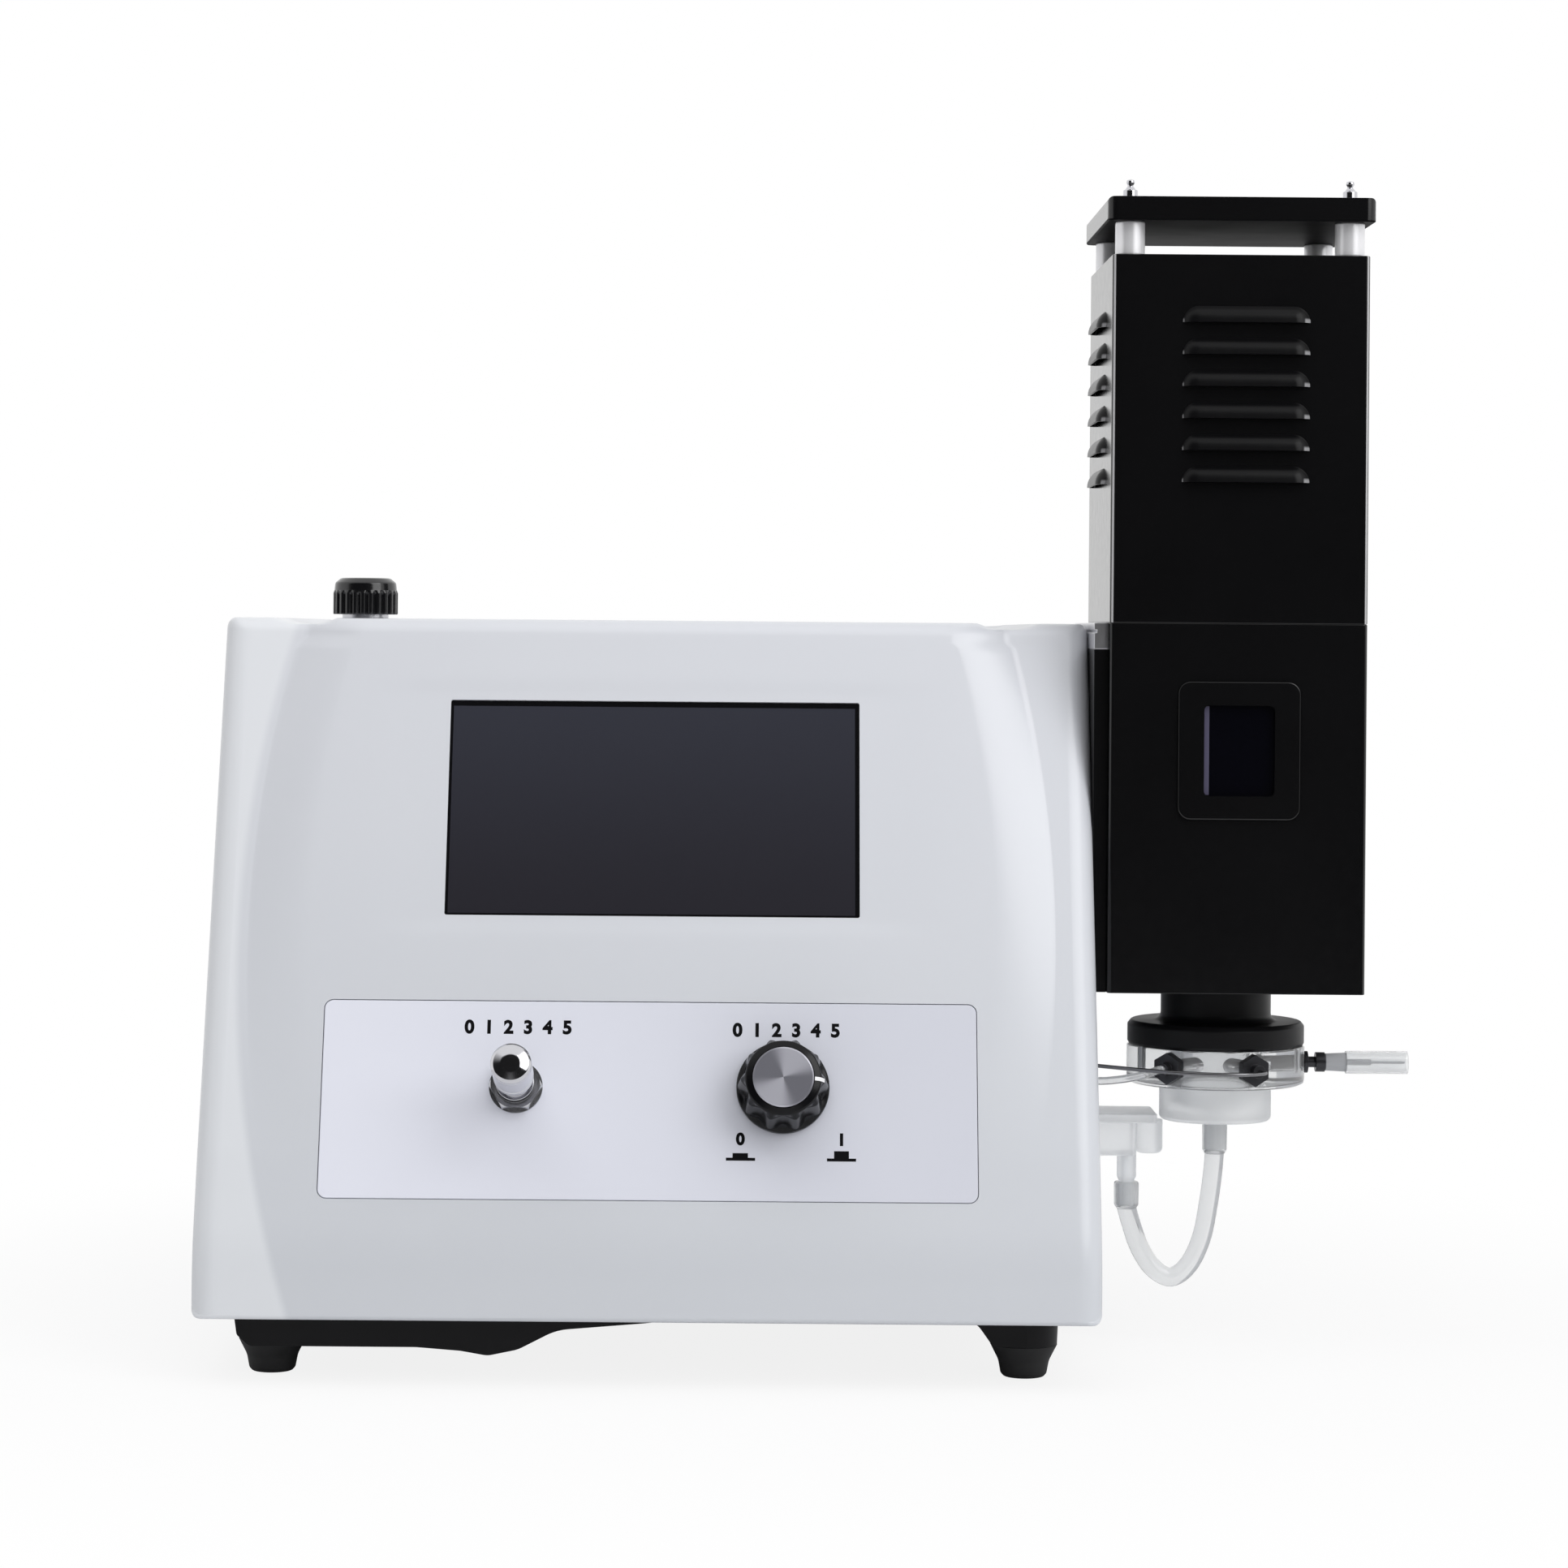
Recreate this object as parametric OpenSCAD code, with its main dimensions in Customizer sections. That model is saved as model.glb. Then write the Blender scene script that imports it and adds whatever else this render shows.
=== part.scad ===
// Flame photometer: a wedge-shaped moulded housing with a flat screen and two gas
// controls, and a black burner tower fixed to its right flank.
// Millimetres. +Z is up, the front faces -Y and +X is the right-hand side seen from the front.

/* [Housing] */
// Width of the moulded housing
body_w = 330; // [310:1:350]
// Depth of the housing at its foot
body_d = 300; // [280:1:320]
// Height of the housing's lower edge above the table
shell_base_z = 24; // [22:0.5:28]
// Height of the housing's flat top above the table
shell_top_z = 277.5; // [272:0.5:288]
// Wall thickness of the moulding
shell_wall = 3; // [2.6:0.1:3.6]
// Height of the upright apron below the leaning front face
apron_h = 23; // [20:1:26]
// Lean of the front face from upright, in degrees
front_lean = 19.3; // [18:0.1:20.5]
// Extra lean of the set-back strips at both sides of the front face, in degrees
wing_extra = 2.4; // [1.6:0.1:2.8]
// Distance up the face at which the side strips start to fall back
wing_start_v = 38; // [30:1:50]
// Radius of the creases along both sides of the raised face
border_r = 451.4; // [440:0.2:462]
// Distance of each border arc's centre beyond the middle of the face
border_centre_x = 302; // [298:1:306]
// Height of the border arcs' centres up the face
border_centre_v = 124; // [118:1:130]
// Rounding of the housing's long upper edges
top_edge_r = 8; // [5:0.5:10]
// Rounding of the front side edges
side_edge_r = 9; // [6:0.5:11]

/* [Screen] */
// Width of the visible screen
screen_w = 154; // [140:1:160]
// Height of the visible screen
screen_h = 84; // [76:1:90]
// Height of the screen's middle up the face
screen_v = 170.1; // [166:0.1:174]
// Depth of the glass below the face
screen_recess = 1.2; // [0.8:0.1:1.5]
// Thickness of the touch glass
glass_t = 1.8; // [1.2:0.1:2]
// Width of glass hidden behind the opening on each side
glass_border = 5; // [3:0.5:7]
// Thickness of the display module behind the glass
display_t = 6; // [4:0.5:9]

/* [Control panel] */
// Width of the inset control plate
label_w = 240; // [225:1:240]
// Height of the inset control plate
label_h = 74.3; // [70:0.1:78]
// Height of the control plate's middle up the face
label_v = 58.4; // [56:0.1:60]
// Thickness of the control plate
label_t = 1.5; // [1:0.1:1.8]
// Corner radius of the control plate
label_r = 3.5; // [2:0.1:6]
// Distance between the two controls
control_pitch = 97.5; // [88:0.5:106]
// Height of the controls up the face
control_v = 63; // [58:0.5:66]

/* [Gas knob] */
// Diameter of the gas knob's skirt
gas_knob_d = 34; // [30:0.5:38]
// Diameter of the gas knob's front rim
gas_knob_front_d = 29.2; // [26:0.2:31]
// Height of the gas knob
gas_knob_h = 18.4; // [16:0.2:22]
// Diameter of the spun metal disc
gas_disc_d = 22.3; // [18:0.1:24]
// Number of finger scallops
gas_scallops = 10; // [8:1:14]
// Diameter of the gas valve's spindle
gas_spindle_d = 6; // [5:0.1:6.4]
// Pull-out travel of the gas knob
gas_travel = 4; // [3:0.5:5]

/* [Fine adjust] */
// Diameter of the fine-adjust knob
fine_knob_d = 14.8; // [13:0.1:17]
// Distance of the fine-adjust knob's front from the face, closed
fine_reach = 39.4; // [37:0.1:44]
// Length of the fine-adjust knob
fine_knob_h = 21.8; // [18:0.1:23]
// Diameter of the fine-adjust stem
fine_stem_d = 5; // [4:0.1:5.6]
// Opening travel of the needle
needle_travel = 3; // [2:0.1:3.2]
// Width across flats of the panel nut
fine_nut_af = 17; // [16:0.1:19]

/* [Regulator] */
// Sideways place of the pressure regulator
reg_x = -115; // [-120:1:-108]
// Distance of the regulator behind the front apron
reg_y = 130; // [124:1:140]
// Diameter of the regulator knob
reg_knob_d = 25.3; // [24.6:0.1:28]
// Height of the regulator knob
reg_knob_h = 14.3; // [12:0.1:16]
// Diameter of the regulator stem
reg_stem_d = 6; // [5:0.1:6.6]
// Unlocking lift of the regulator knob
reg_lift = 2.5; // [1.5:0.1:3]

/* [Tower] */
// Gap between the housing and the tower
tower_gap = 5.5; // [4:0.5:8]
// Width of the tower
tower_w = 96.8; // [92:0.2:102]
// Depth of the tower
tower_d = 100; // [96:1:106]
// Distance of the tower's front behind the front apron
tower_front_y = 62; // [56:1:68]
// Height of the tower's underside above the table
tower_base_z = 139; // [136:1:142]
// Height of the lower box
flame_box_h = 139; // [134:1:144]
// Height of the lift-off chimney cover
chimney_h = 138.5; // [134:0.5:144]
// Sheet thickness of the tower
sheet_t = 1.2; // [1:0.1:1.5]
// Thickness of the cap plate
cap_t = 9; // [7:0.5:11]
// Overhang of the cap plate
cap_over = 2; // [1:0.5:3]
// Height of the posts under the cap plate
post_h = 12.5; // [10:0.5:16]
// Diameter of the posts
post_d = 11.2; // [9:0.2:12]
// Distance of the posts from the tower's sides
post_inset = 7; // [6.6:0.1:8]
// Number of louvres on each side
louvre_count = 6; // [4:1:7]
// Distance between louvres
louvre_pitch = 12; // [11:0.5:13]
// Width of a louvre
louvre_w = 48; // [40:1:54]
// Height of the lowest louvre opening above the cover's lower edge
louvre_low = 53; // [46:1:56]

/* [Burner] */
// How far the burner stands to the left of the tower's middle
burner_shift = 1.9; // [0:0.1:4]
// Diameter of the burner neck
neck_d = 42.4; // [40:0.2:45]
// Diameter of the burner flange
flange_d = 68; // [66:0.5:70]
// Thickness of the burner flange
flange_t = 9.4; // [8:0.1:10]
// Height of the flange's underside above the table
flange_z = 115.5; // [114:0.1:116]
// Thickness of the clear mixing disc
disc_t = 14.7; // [13:0.1:15.5]
// Diameter of the clear mixing disc
disc_d = 68.5; // [66:0.5:70]
// Diameter of the drain cup
cup_d = 43; // [40:0.5:46]
// Height of the drain cup
cup_h = 14.3; // [13:0.1:15]
// Bore of the mixing chamber
chamber_d = 26; // [22:0.5:28]
// Outer diameter of the drain hose
hose_d = 7.4; // [7:0.1:8]
// Diameter of the drain nipples
nipple_d = 6; // [5.6:0.1:6.4]

/* [Base] */
// Half width of the black base pan
pan_half_w = 151; // [146:1:154]
// Sideways place of the feet
foot_x = 138.5; // [134:0.5:140]
// Distance of the front feet behind the front apron
foot_y = 36; // [30:1:42]
// Top diameter of a foot
foot_top_d = 25; // [22:0.5:27]
// Sole diameter of a foot
foot_sole_d = 17; // [14:0.5:19]
// Height of the rubber feet
foot_h = 12; // [10:0.5:13]

/* [Rear panel] */
// Width of the rear panel
rear_w = 296; // [280:1:300]
// Height of the rear panel
rear_h = 214; // [200:1:222]
// Height of the rear panel's lower edge above the table
rear_base_z = 38; // [34:1:42]
// Thickness of the rear panel
rear_t = 1.5; // [1:0.1:1.8]
// Height of the connectors above the table
port_z = 72; // [66:1:80]
// Diameter of the gas and air spigots
spigot_d = 8; // [7:0.5:9]
// Length of the gas and air spigots
spigot_l = 14; // [12:0.5:16]

/* [Hidden] */

// Colours
moulding_white = "#e8eaee";
plate_grey = "#d4d5e0";
sheet_black = "#161618";
soft_black = "#232326";
bare_metal = "#b9bbc0";
bright_metal = "#d6d8dc";
clear_plastic = "#dfe6ea";
milky_plastic = "#e9edf0";
board_green = "#1f6b45";
screen_dark = "#35333d";
brass_colour = "#b8963e";

// Small allowances
eps = 0.01;
fit = 0.05;
slip = 0.3;
arc_steps = 6;
$fn = 48;

// ---- plane geometry helpers ----
function unit(v) = v / norm(v);
function inward(a, b) = let(d = unit(b - a)) [d[1], -d[0]];
function ring_index(i, n) = (i + n) % n;

// Points of a clockwise outline moved inwards by d
function inset(points, d) =
    [for (i = [0 : len(points) - 1])
        let(n = len(points), a = points[ring_index(i - 1, n)], b = points[ring_index(i + 1, n)],
            n1 = inward(a, points[i]), n2 = inward(points[i], b))
        points[i] + d * (n1 + n2) / (1 + n1 * n2)];

// Corner p between a and b replaced by an arc of radius r
function corner_arc(a, p, b, r) =
    r <= 0 ? [p] :
    let(u = unit(a - p), v = unit(b - p), half = acos(u * v) / 2, turn = 180 - 2 * half,
        centre = p + unit(u + v) * (r / sin(half)),
        from = p + u * (r / tan(half)) - centre, to = p + v * (r / tan(half)) - centre)
    [for (i = [0 : arc_steps])
        let(t = i / arc_steps)
        centre + (from * sin((1 - t) * turn) + to * sin(t * turn)) / sin(turn)];

// Outline with one radius a corner
function rounded(points, radii) =
    [for (i = [0 : len(points) - 1])
        let(n = len(points))
        each corner_arc(points[ring_index(i - 1, n)], points[i], points[ring_index(i + 1, n)], radii[i])];

function box_outline(x0, y0, x1, y1) = [[x0, y0], [x0, y1], [x1, y1], [x1, y0]];

// ---- derived places ----
face_foot_z = shell_base_z + apron_h;
blend_r = 70;
wing_lean = front_lean + wing_extra;
flank_run = 2.5;
flank_reach = 24;
corner_r = 6;
upper_corner_r = 4;
plan_corner_r = 7;
tower_x = body_w / 2 + tower_gap;
tower_mid_x = tower_x + tower_w / 2;
tower_mid_y = tower_front_y + tower_d / 2;
burner_x = tower_mid_x - burner_shift;
burner_y = tower_mid_y;
trim_top_z = shell_top_z + 0.5;
cover_z = tower_base_z + flame_box_h;
cover_top_z = cover_z + chimney_h;
cap_z = cover_top_z + post_h;
disc_z = flange_z - disc_t;
cup_z = disc_z - cup_h;
inlet_z = flange_z - 6.7;
control_x = control_pitch / 2;
window_z = tower_base_z + 91.3;
light_d = 22;

// ---- placing ----
sleeve_end_x = burner_x + 74.3;
fine_bevel = 0.8;
front_y = (control_v - fine_knob_d / 2 + fine_bevel) * sin(front_lean) - fine_reach * cos(front_lean);
origin_x = (sleeve_end_x - body_w / 2) / 2;
origin_y = (front_y + body_d + spigot_l + 4) / 2;

// The part's origin is under the middle of its box, on the table
module placed() { translate([-origin_x, -origin_y, 0]) children(); }

// Front face frame: X across, Y up the face, Z straight out of it
module on_face(x, v) {
    translate([0, 0, face_foot_z]) rotate([90 - front_lean, 0, 0]) translate([x, v, 0]) children();
}

// Outline in (Y, Z) pushed along X, centred
module along_x(w) { translate([-w / 2, 0, 0]) rotate([90, 0, 90]) linear_extrude(w) children(); }

// Outline in (X, Z) pushed along +Y from y0
module along_y(y0, l) { translate([0, y0 + l, 0]) rotate([90, 0, 0]) linear_extrude(l) children(); }

module slab(w, d, h, r = 0) {
    linear_extrude(h)
        polygon(rounded(box_outline(-w / 2, -d / 2, w / 2, d / 2), [r, r, r, r]));
}

module ring(d_out, d_in, h) {
    difference() {
        cylinder(d = d_out, h = h);
        translate([0, 0, -1]) cylinder(d = d_in, h = h + 2);
    }
}

module hexagon_prism(af, h) { cylinder(d = af / cos(30), h = h, $fn = 6); }

// ---- housing ----
// Side outline; extra is the added lean from wing_start_v upwards
function side_outline(extra) =
    let(s = sin(front_lean), c = cos(front_lean), lean2 = front_lean + extra,
        mid = [wing_start_v * s, face_foot_z + wing_start_v * c],
        top_y = mid[0] + (shell_top_z - mid[1]) * tan(lean2))
    [[0, shell_base_z], [0, face_foot_z], mid, [top_y, shell_top_z],
     [body_d, shell_top_z], [body_d, shell_base_z]];

module side_section(extra, depth) {
    outline = depth > 0 ? inset(side_outline(extra), depth) : side_outline(extra);
    edge_r = max(top_edge_r - depth, 1);
    polygon(rounded(outline, [0, blend_r - depth, 0, edge_r, edge_r, 0]));
}

module housing_block() {
    intersection() {
        along_x(body_w) side_section(wing_extra, 0);
        along_y(-20, body_d + 40)
            polygon(rounded(box_outline(-body_w / 2, shell_base_z, body_w / 2, shell_top_z),
                            [corner_r, upper_corner_r, upper_corner_r, corner_r]));
        translate([0, body_d / 2, 0]) slab(body_w, body_d, shell_top_z + 10, plan_corner_r);
        on_side_strip(0, wing_start_v) along_y(-300, 900)
            polygon(rounded(box_outline(-body_w / 2, -600, body_w / 2, 0), [0, side_edge_r, side_edge_r, 0]));
    }
}

// The front face stands proud between two curved flanks, which rise from the side strips
module on_side_strip(x, v) {
    translate([0, wing_start_v * sin(front_lean), face_foot_z + wing_start_v * cos(front_lean)])
        rotate([90 - wing_lean, 0, 0]) translate([x, v - wing_start_v, 0]) children();
}

module flank_cone() {
    translate([0, 0, -flank_reach])
        cylinder(r1 = border_r + flank_reach * flank_run, r2 = border_r - flank_reach * flank_run,
                 h = 2 * flank_reach);
}

module raised_face() {
    intersection() {
        along_x(2 * (border_r - border_centre_x) + 40) side_section(0, 0);
        on_side_strip(border_centre_x, border_centre_v) flank_cone();
        on_side_strip(-border_centre_x, border_centre_v) flank_cone();
        on_face(0, 0) translate([-body_w / 2, -apron_h, -20]) cube([body_w, 400, 25]);
    }
}

module housing_shell() placed() color(moulding_white) difference() {
    union() {
        housing_block();
        raised_face();
    }
    // shallow valleys that carry the borders back over the top
    for (side = [-1, 1])
        translate([side * 134, 60, shell_top_z + valley_r - valley_depth])
            rotate([-90, 0, 0]) cylinder(r = valley_r, h = body_d);
    // the hollow inside, open at the foot
    along_x(body_w - 2 * shell_wall) side_section(wing_extra, shell_wall);
    along_x(2 * face_cavity_half) side_section(0, shell_wall);
    translate([-body_w / 2 + shell_wall, shell_wall, shell_base_z - 5])
        cube([body_w - 2 * shell_wall, body_d - 2 * shell_wall, 5 + shell_wall + 1]);
    // screen opening and glass pocket
    on_face(0, screen_v) translate([0, 0, -10]) slab(screen_w, screen_h, 20, 0.8);
    on_face(0, screen_v) translate([0, 0, -20])
        slab(screen_w + 2 * glass_border + slip, screen_h + 2 * glass_border + slip, 20 - screen_recess, 1);
    // pocket of the control plate and the two valve holes
    on_face(0, label_v) translate([0, 0, -label_t]) slab(label_w, label_h, 20, label_r);
    on_face(-control_x, control_v) translate([0, 0, -20]) cylinder(d = fine_bush_d + 2 * slip, h = 30);
    on_face(control_x, control_v) translate([0, 0, -20]) cylinder(d = gas_bush_d + 2 * slip, h = 30);
    // regulator neck
    translate([reg_x, reg_y, shell_top_z - 20]) cylinder(d = reg_neck_d + 2 * slip, h = 30);
    // light port and hoses in the right wall
    translate([body_w / 2 - 10, burner_y, window_z]) rotate([0, 90, 0]) cylinder(d = light_d, h = 20);
    translate([body_w / 2 - 10, hose_entry_y, gas_entry_z]) rotate([0, 90, 0]) cylinder(d = 4, h = 20);
    translate([body_w / 2 - 10, hose_entry_y, air_entry_z]) rotate([0, 90, 0]) cylinder(d = 2.6, h = 20);
    // rear opening with the panel's pocket
    translate([0, body_d - rear_t, rear_mid_z]) rotate([-90, 0, 0]) slab(rear_w, rear_h, 10, 4);
    translate([0, body_d - 10, rear_mid_z]) rotate([-90, 0, 0]) slab(rear_w - 24, rear_h - 24, 20, 3);
    for (p = rear_screw_places)
        translate([p[0], body_d - 6, p[1]]) rotate([-90, 0, 0]) cylinder(d = rear_screw_d, h = 12, $fn = 24);
}

valley_r = 30;
valley_depth = 2.4;
face_cavity_half = 100;
rear_mid_z = rear_base_z + rear_h / 2;
rear_screw_d = 3;
rear_screw_places =
    [for (i = [-1, -1 / 3, 1 / 3, 1], j = [-1, 1]) [i * (rear_w / 2 - 6), rear_mid_z + j * (rear_h / 2 - 6)]];

module base_pan() placed() color(soft_black) difference() {
    union() {
        // tray inside the foot of the housing
        translate([0, body_d / 2, pan_z]) slab(body_w - 2 * shell_wall, body_d - 2 * shell_wall, pan_t, 1);
        // belly below the left half, sloping away towards the middle
        along_y(16, body_d - 32)
            polygon([[-pan_half_w, pan_z + 1], [-pan_half_w + 1.5, 16], [-pan_half_w + 6, foot_h],
                     [-84, foot_h], [-72, foot_h - 0.8], [-60, foot_h - 2.4], [-52, foot_h - 1.8],
                     [-42, foot_h + 3.2], [-32, foot_h + 6.2], [0, foot_h + 9.6], [18, shell_base_z],
                     [18, pan_z + 1]]);
        // bosses over the four feet
        for (side = [-1, 1], y = foot_rows)
            translate([side * foot_x, y, foot_h]) cylinder(d1 = foot_top_d, d2 = foot_top_d + 1, h = pan_z + 1 - foot_h);
        for (y = foot_rows)
            along_y(y - foot_top_d / 2, foot_top_d)
                polygon([[foot_x - 26, pan_z + 1], [foot_x - 26, shell_base_z - 0.4],
                         [foot_x - 18, shell_base_z - 3], [foot_x - 12, foot_h + 0.5], [foot_x, foot_h + 0.5],
                         [foot_x, pan_z + 1]]);
        // standoffs for the main board
        for (x = board_post_columns, y = board_post_rows)
            translate([x, y, pan_z + pan_t - eps]) cylinder(d = 6, h = post_rise + eps);
    }
    for (side = [-1, 1], y = foot_rows)
        translate([side * foot_x, y, 0]) cylinder(d = foot_plug_d, h = foot_h + 5);
}

pan_z = shell_base_z + 1.5;
pan_t = 3;
post_rise = 8;
foot_plug_d = 5;
board_post_columns = [-70, 20];
board_post_rows = [120, 230];
foot_rows = [foot_y, body_d - foot_y];

module rubber_feet() placed() color(soft_black)
    for (side = [-1, 1], y = foot_rows)
        translate([side * foot_x, y, 0]) rotate_extrude() polygon(foot_outline);

foot_outline =
    let(sole = foot_sole_d / 2, top = foot_top_d / 2)
    [[0, 0], [sole - 2, 0], [sole - 0.6, 0.6], [sole, 2], [top - 1.2, foot_h - 1.5], [top, foot_h],
     [foot_plug_d / 2, foot_h],
     [foot_plug_d / 2, foot_h + 4], [0, foot_h + 4]];

// ---- rear panel and its connectors ----
inlet_x = 108;
switch_x = 76;
data_x = 26;
gas_in_x = -96;
air_in_x = -128;
plug_w = 27;
plug_h = 30;
socket_h = 18;
rocker_w = 13;
rocker_h = 20.4;
rocker_pin_d = 2;
data_w = 18;
data_h = 10;
port_neck_d = 12;

module rear_panel() placed() color(bare_metal) difference() {
    translate([0, body_d - rear_t, rear_mid_z]) rotate([-90, 0, 0])
        slab(rear_w - 2 * slip, rear_h - 2 * slip, rear_t, 4 - slip);
    for (p = rear_screw_places)
        translate([p[0], body_d - 6, p[1]]) rotate([-90, 0, 0]) cylinder(d = rear_screw_d + 0.4, h = 12, $fn = 24);
    translate([inlet_x, body_d, port_z]) rear_cut(plug_w + 0.4, plug_h + 0.4, 2);
    translate([switch_x, body_d, port_z]) rear_cut(rocker_w + 4.4, rocker_h + 4.4, 1);
    translate([data_x, body_d, port_z]) rear_cut(data_w + 0.4, data_h + 0.4, 1.5);
    for (x = [gas_in_x, air_in_x])
        translate([x, body_d - 6, port_z]) rotate([-90, 0, 0]) cylinder(d = port_neck_d + 0.4, h = 12);
    for (column = [-1, 1], row = [0 : 8])
        translate([column * 62, body_d, 150 + row * 9]) rear_cut(84, 3.4, 1.69);
}

module rear_cut(w, h, r) { translate([0, -6, 0]) rotate([-90, 0, 0]) slab(w, h, 12, r); }

module rear_screws() placed() color(bright_metal)
    for (p = rear_screw_places)
        translate([p[0], body_d, p[1]]) rotate([-90, 0, 0]) difference() {
            union() {
                translate([0, 0, -5]) cylinder(d = rear_screw_d, h = 5 + eps, $fn = 24);
                cylinder(d = 5.6, h = 1.6, $fn = 32);
            }
            for (turn = [0, 90]) rotate(turn) translate([-1.6, -0.4, 0.9]) cube([3.2, 0.8, 2]);
        }

module mains_inlet() placed() color(soft_black) translate([inlet_x, body_d, port_z]) {
    difference() {
        union() {
            rotate([-90, 0, 0]) slab(plug_w + 6, plug_h + 6, 2, 3);
            translate([0, -22, 0]) rotate([-90, 0, 0]) slab(plug_w, plug_h, 22.5, 2);
        }
        translate([0, -17, -4]) rotate([-90, 0, 0]) slab(plug_w - 3, socket_h, 30, 2);
        // parting line and finger notch of the fuse drawer above the socket
        translate([0, 1.4, 10]) rotate([-90, 0, 0]) difference() {
            slab(plug_w - 4, 7, 2, 0.6);
            translate([0, 0, -1]) slab(plug_w - 5.2, 5.8, 4, 0.5);
        }
        translate([0, 1, 11.2]) rotate([-90, 0, 0]) slab(7, 1.8, 2, 0.5);
    }
    for (x = [-7, 0, 7]) translate([x - 1, -18, x == 0 ? -7.5 : -3.5]) cube([2, 8, 4]);
}

module switch_frame() placed() color(soft_black) translate([switch_x, body_d, port_z]) rotate([-90, 0, 0])
    difference() {
        union() {
            slab(rocker_w + 8, rocker_h + 8, 1.6, 2);
            translate([0, 0, -14]) slab(rocker_w + 4, rocker_h + 4, 14.5, 1);
        }
        translate([0, 0, -10]) slab(rocker_w, rocker_h, 20, 0.6);
        translate([0, 0, -1]) rotate([0, 90, 0]) cylinder(d = rocker_pin_d + 2 * fit, h = rocker_w + 3, center = true);
    }

// Rocker on a cross pin; every corner stays inside the frame as it tips
module switch_rocker() placed() color("#1b1b1d") translate([switch_x, body_d - 1, port_z]) {
    along_x(rocker_w - 2 * slip)
        polygon([[-6, -5.5], [-6, 5.5], [0.8, 9.4], [2.6, 9.2], [1.9, 0], [3.9, -8.9], [2.2, -9.4]]);
    rotate([0, 90, 0]) cylinder(d = rocker_pin_d, h = rocker_w + 2.6, center = true);
}

module data_port() placed() color(bare_metal) translate([data_x, body_d, port_z]) rotate([-90, 0, 0]) {
    difference() {
        union() {
            slab(data_w + 12, data_h + 3, 1, 2);
            translate([0, 0, -8]) slab(data_w, data_h, 13, 1.5);
        }
        translate([0, 0, -4]) slab(data_w - 2, data_h - 2, 20, 1);
    }
    for (side = [-1, 1]) translate([side * (data_w / 2 + 3.4), 0, 0.9]) hexagon_prism(4.6, 4);
}

module spigot() {
    difference() {
        union() {
            translate([0, 0, -16]) cylinder(d = port_neck_d, h = 16 + eps);
            hexagon_prism(14, 4);
            translate([0, 0, 4 - eps]) cylinder(d = spigot_d, h = spigot_l);
        }
        translate([0, 0, -17]) cylinder(d = spigot_d - 3, h = 40);
    }
}

module gas_inlet() placed() color(brass_colour)
    translate([gas_in_x, body_d, port_z]) rotate([-90, 0, 0]) spigot();
module air_inlet() placed() color(bare_metal)
    translate([air_in_x, body_d, port_z]) rotate([-90, 0, 0]) spigot();

// ---- screen ----
module touch_glass() placed() color(screen_dark)
    on_face(0, screen_v) translate([0, 0, -screen_recess - glass_t])
        slab(screen_w + 2 * glass_border, screen_h + 2 * glass_border, glass_t, 0.8);
module display_module() placed() color(bare_metal)
    on_face(0, screen_v) translate([0, 0, -screen_recess - glass_t - display_t])
        slab(screen_w + 2 * glass_border - 2, screen_h + 2 * glass_border - 2, display_t, 0.8);
module display_board() placed() color(board_green)
    on_face(0, screen_v) translate([0, 0, -screen_recess - glass_t - display_t]) {
        translate([0, 0, -1.6]) slab(screen_w - 14, screen_h - 10, 1.6, 1);
        translate([-30, 10, -4]) slab(16, 16, 2.5, 0.5);
        translate([25, -12, -5]) slab(24, 10, 3.5, 0.5);
        translate([50, 18, -8]) slab(12, 8, 6.5, 0.5);
    }

module control_plate() placed() color(plate_grey) difference() {
    on_face(0, label_v) translate([0, 0, -label_t]) slab(label_w - 2 * slip, label_h - 2 * slip, label_t, label_r - slip);
    on_face(-control_x, control_v) translate([0, 0, -5]) cylinder(d = fine_bush_d + 2 * slip, h = 10);
    on_face(control_x, control_v) translate([0, 0, -5]) cylinder(d = gas_bush_d + 2 * slip, h = 10);
}

// ---- electronics ----
board_x = -body_w / 2 + 140;
board_y = body_d - 125;
supply_w = 90;
supply_d = 120;
supply_x = body_w / 2 - 20 - supply_w / 2;
supply_y = body_d - 50 - supply_d / 2;
module main_board() placed() color(board_green) translate([board_x, board_y, pan_z + pan_t + post_rise]) {
    slab(110, 130, 1.6, 2);
    translate([-30, 30, 1.5]) slab(22, 22, 3, 0.5);
    translate([15, 30, 1.5]) slab(30, 10, 8, 0.5);
    translate([30, -35, 1.5]) cylinder(d = 14, h = 20);
    translate([10, -35, 1.5]) cylinder(d = 14, h = 20);
    translate([-35, -40, 1.5]) slab(12, 36, 9, 0.5);
}
module power_supply() placed() color(bare_metal) translate([supply_x, supply_y, pan_z + pan_t]) difference() {
    slab(supply_w, supply_d, 38, 1);
    translate([0, 0, 1.5]) slab(supply_w - 3, supply_d - 3, 33, 1);
    for (i = [-3 : 3]) translate([i * 10, 0, 30]) slab(4, 80, 12, 1.9);
}

// ---- pressure regulator ----
reg_neck_d = 14;
reg_knob_z = shell_top_z + 1.6;
reg_knob_top = reg_knob_z + reg_knob_h;
reg_well_d = reg_knob_d - 4.4;
module regulator_body() placed() color(bare_metal) translate([reg_x, reg_y, 0]) difference() {
    union() {
        translate([0, 0, shell_top_z - shell_wall - 46]) cylinder(d = 36, h = 46);
        translate([0, 0, shell_top_z - shell_wall - eps]) cylinder(d = reg_neck_d, h = shell_wall + 4.5);
        translate([0, 0, shell_top_z - shell_wall - 40]) slab(56, 14, 12, 2);
        translate([0, 0, shell_top_z - shell_wall - 60]) cylinder(d = 24, h = 20);
    }
    translate([0, 0, shell_top_z - 34]) cylinder(d = reg_stem_d + 2 * fit, h = 60);
}
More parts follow.
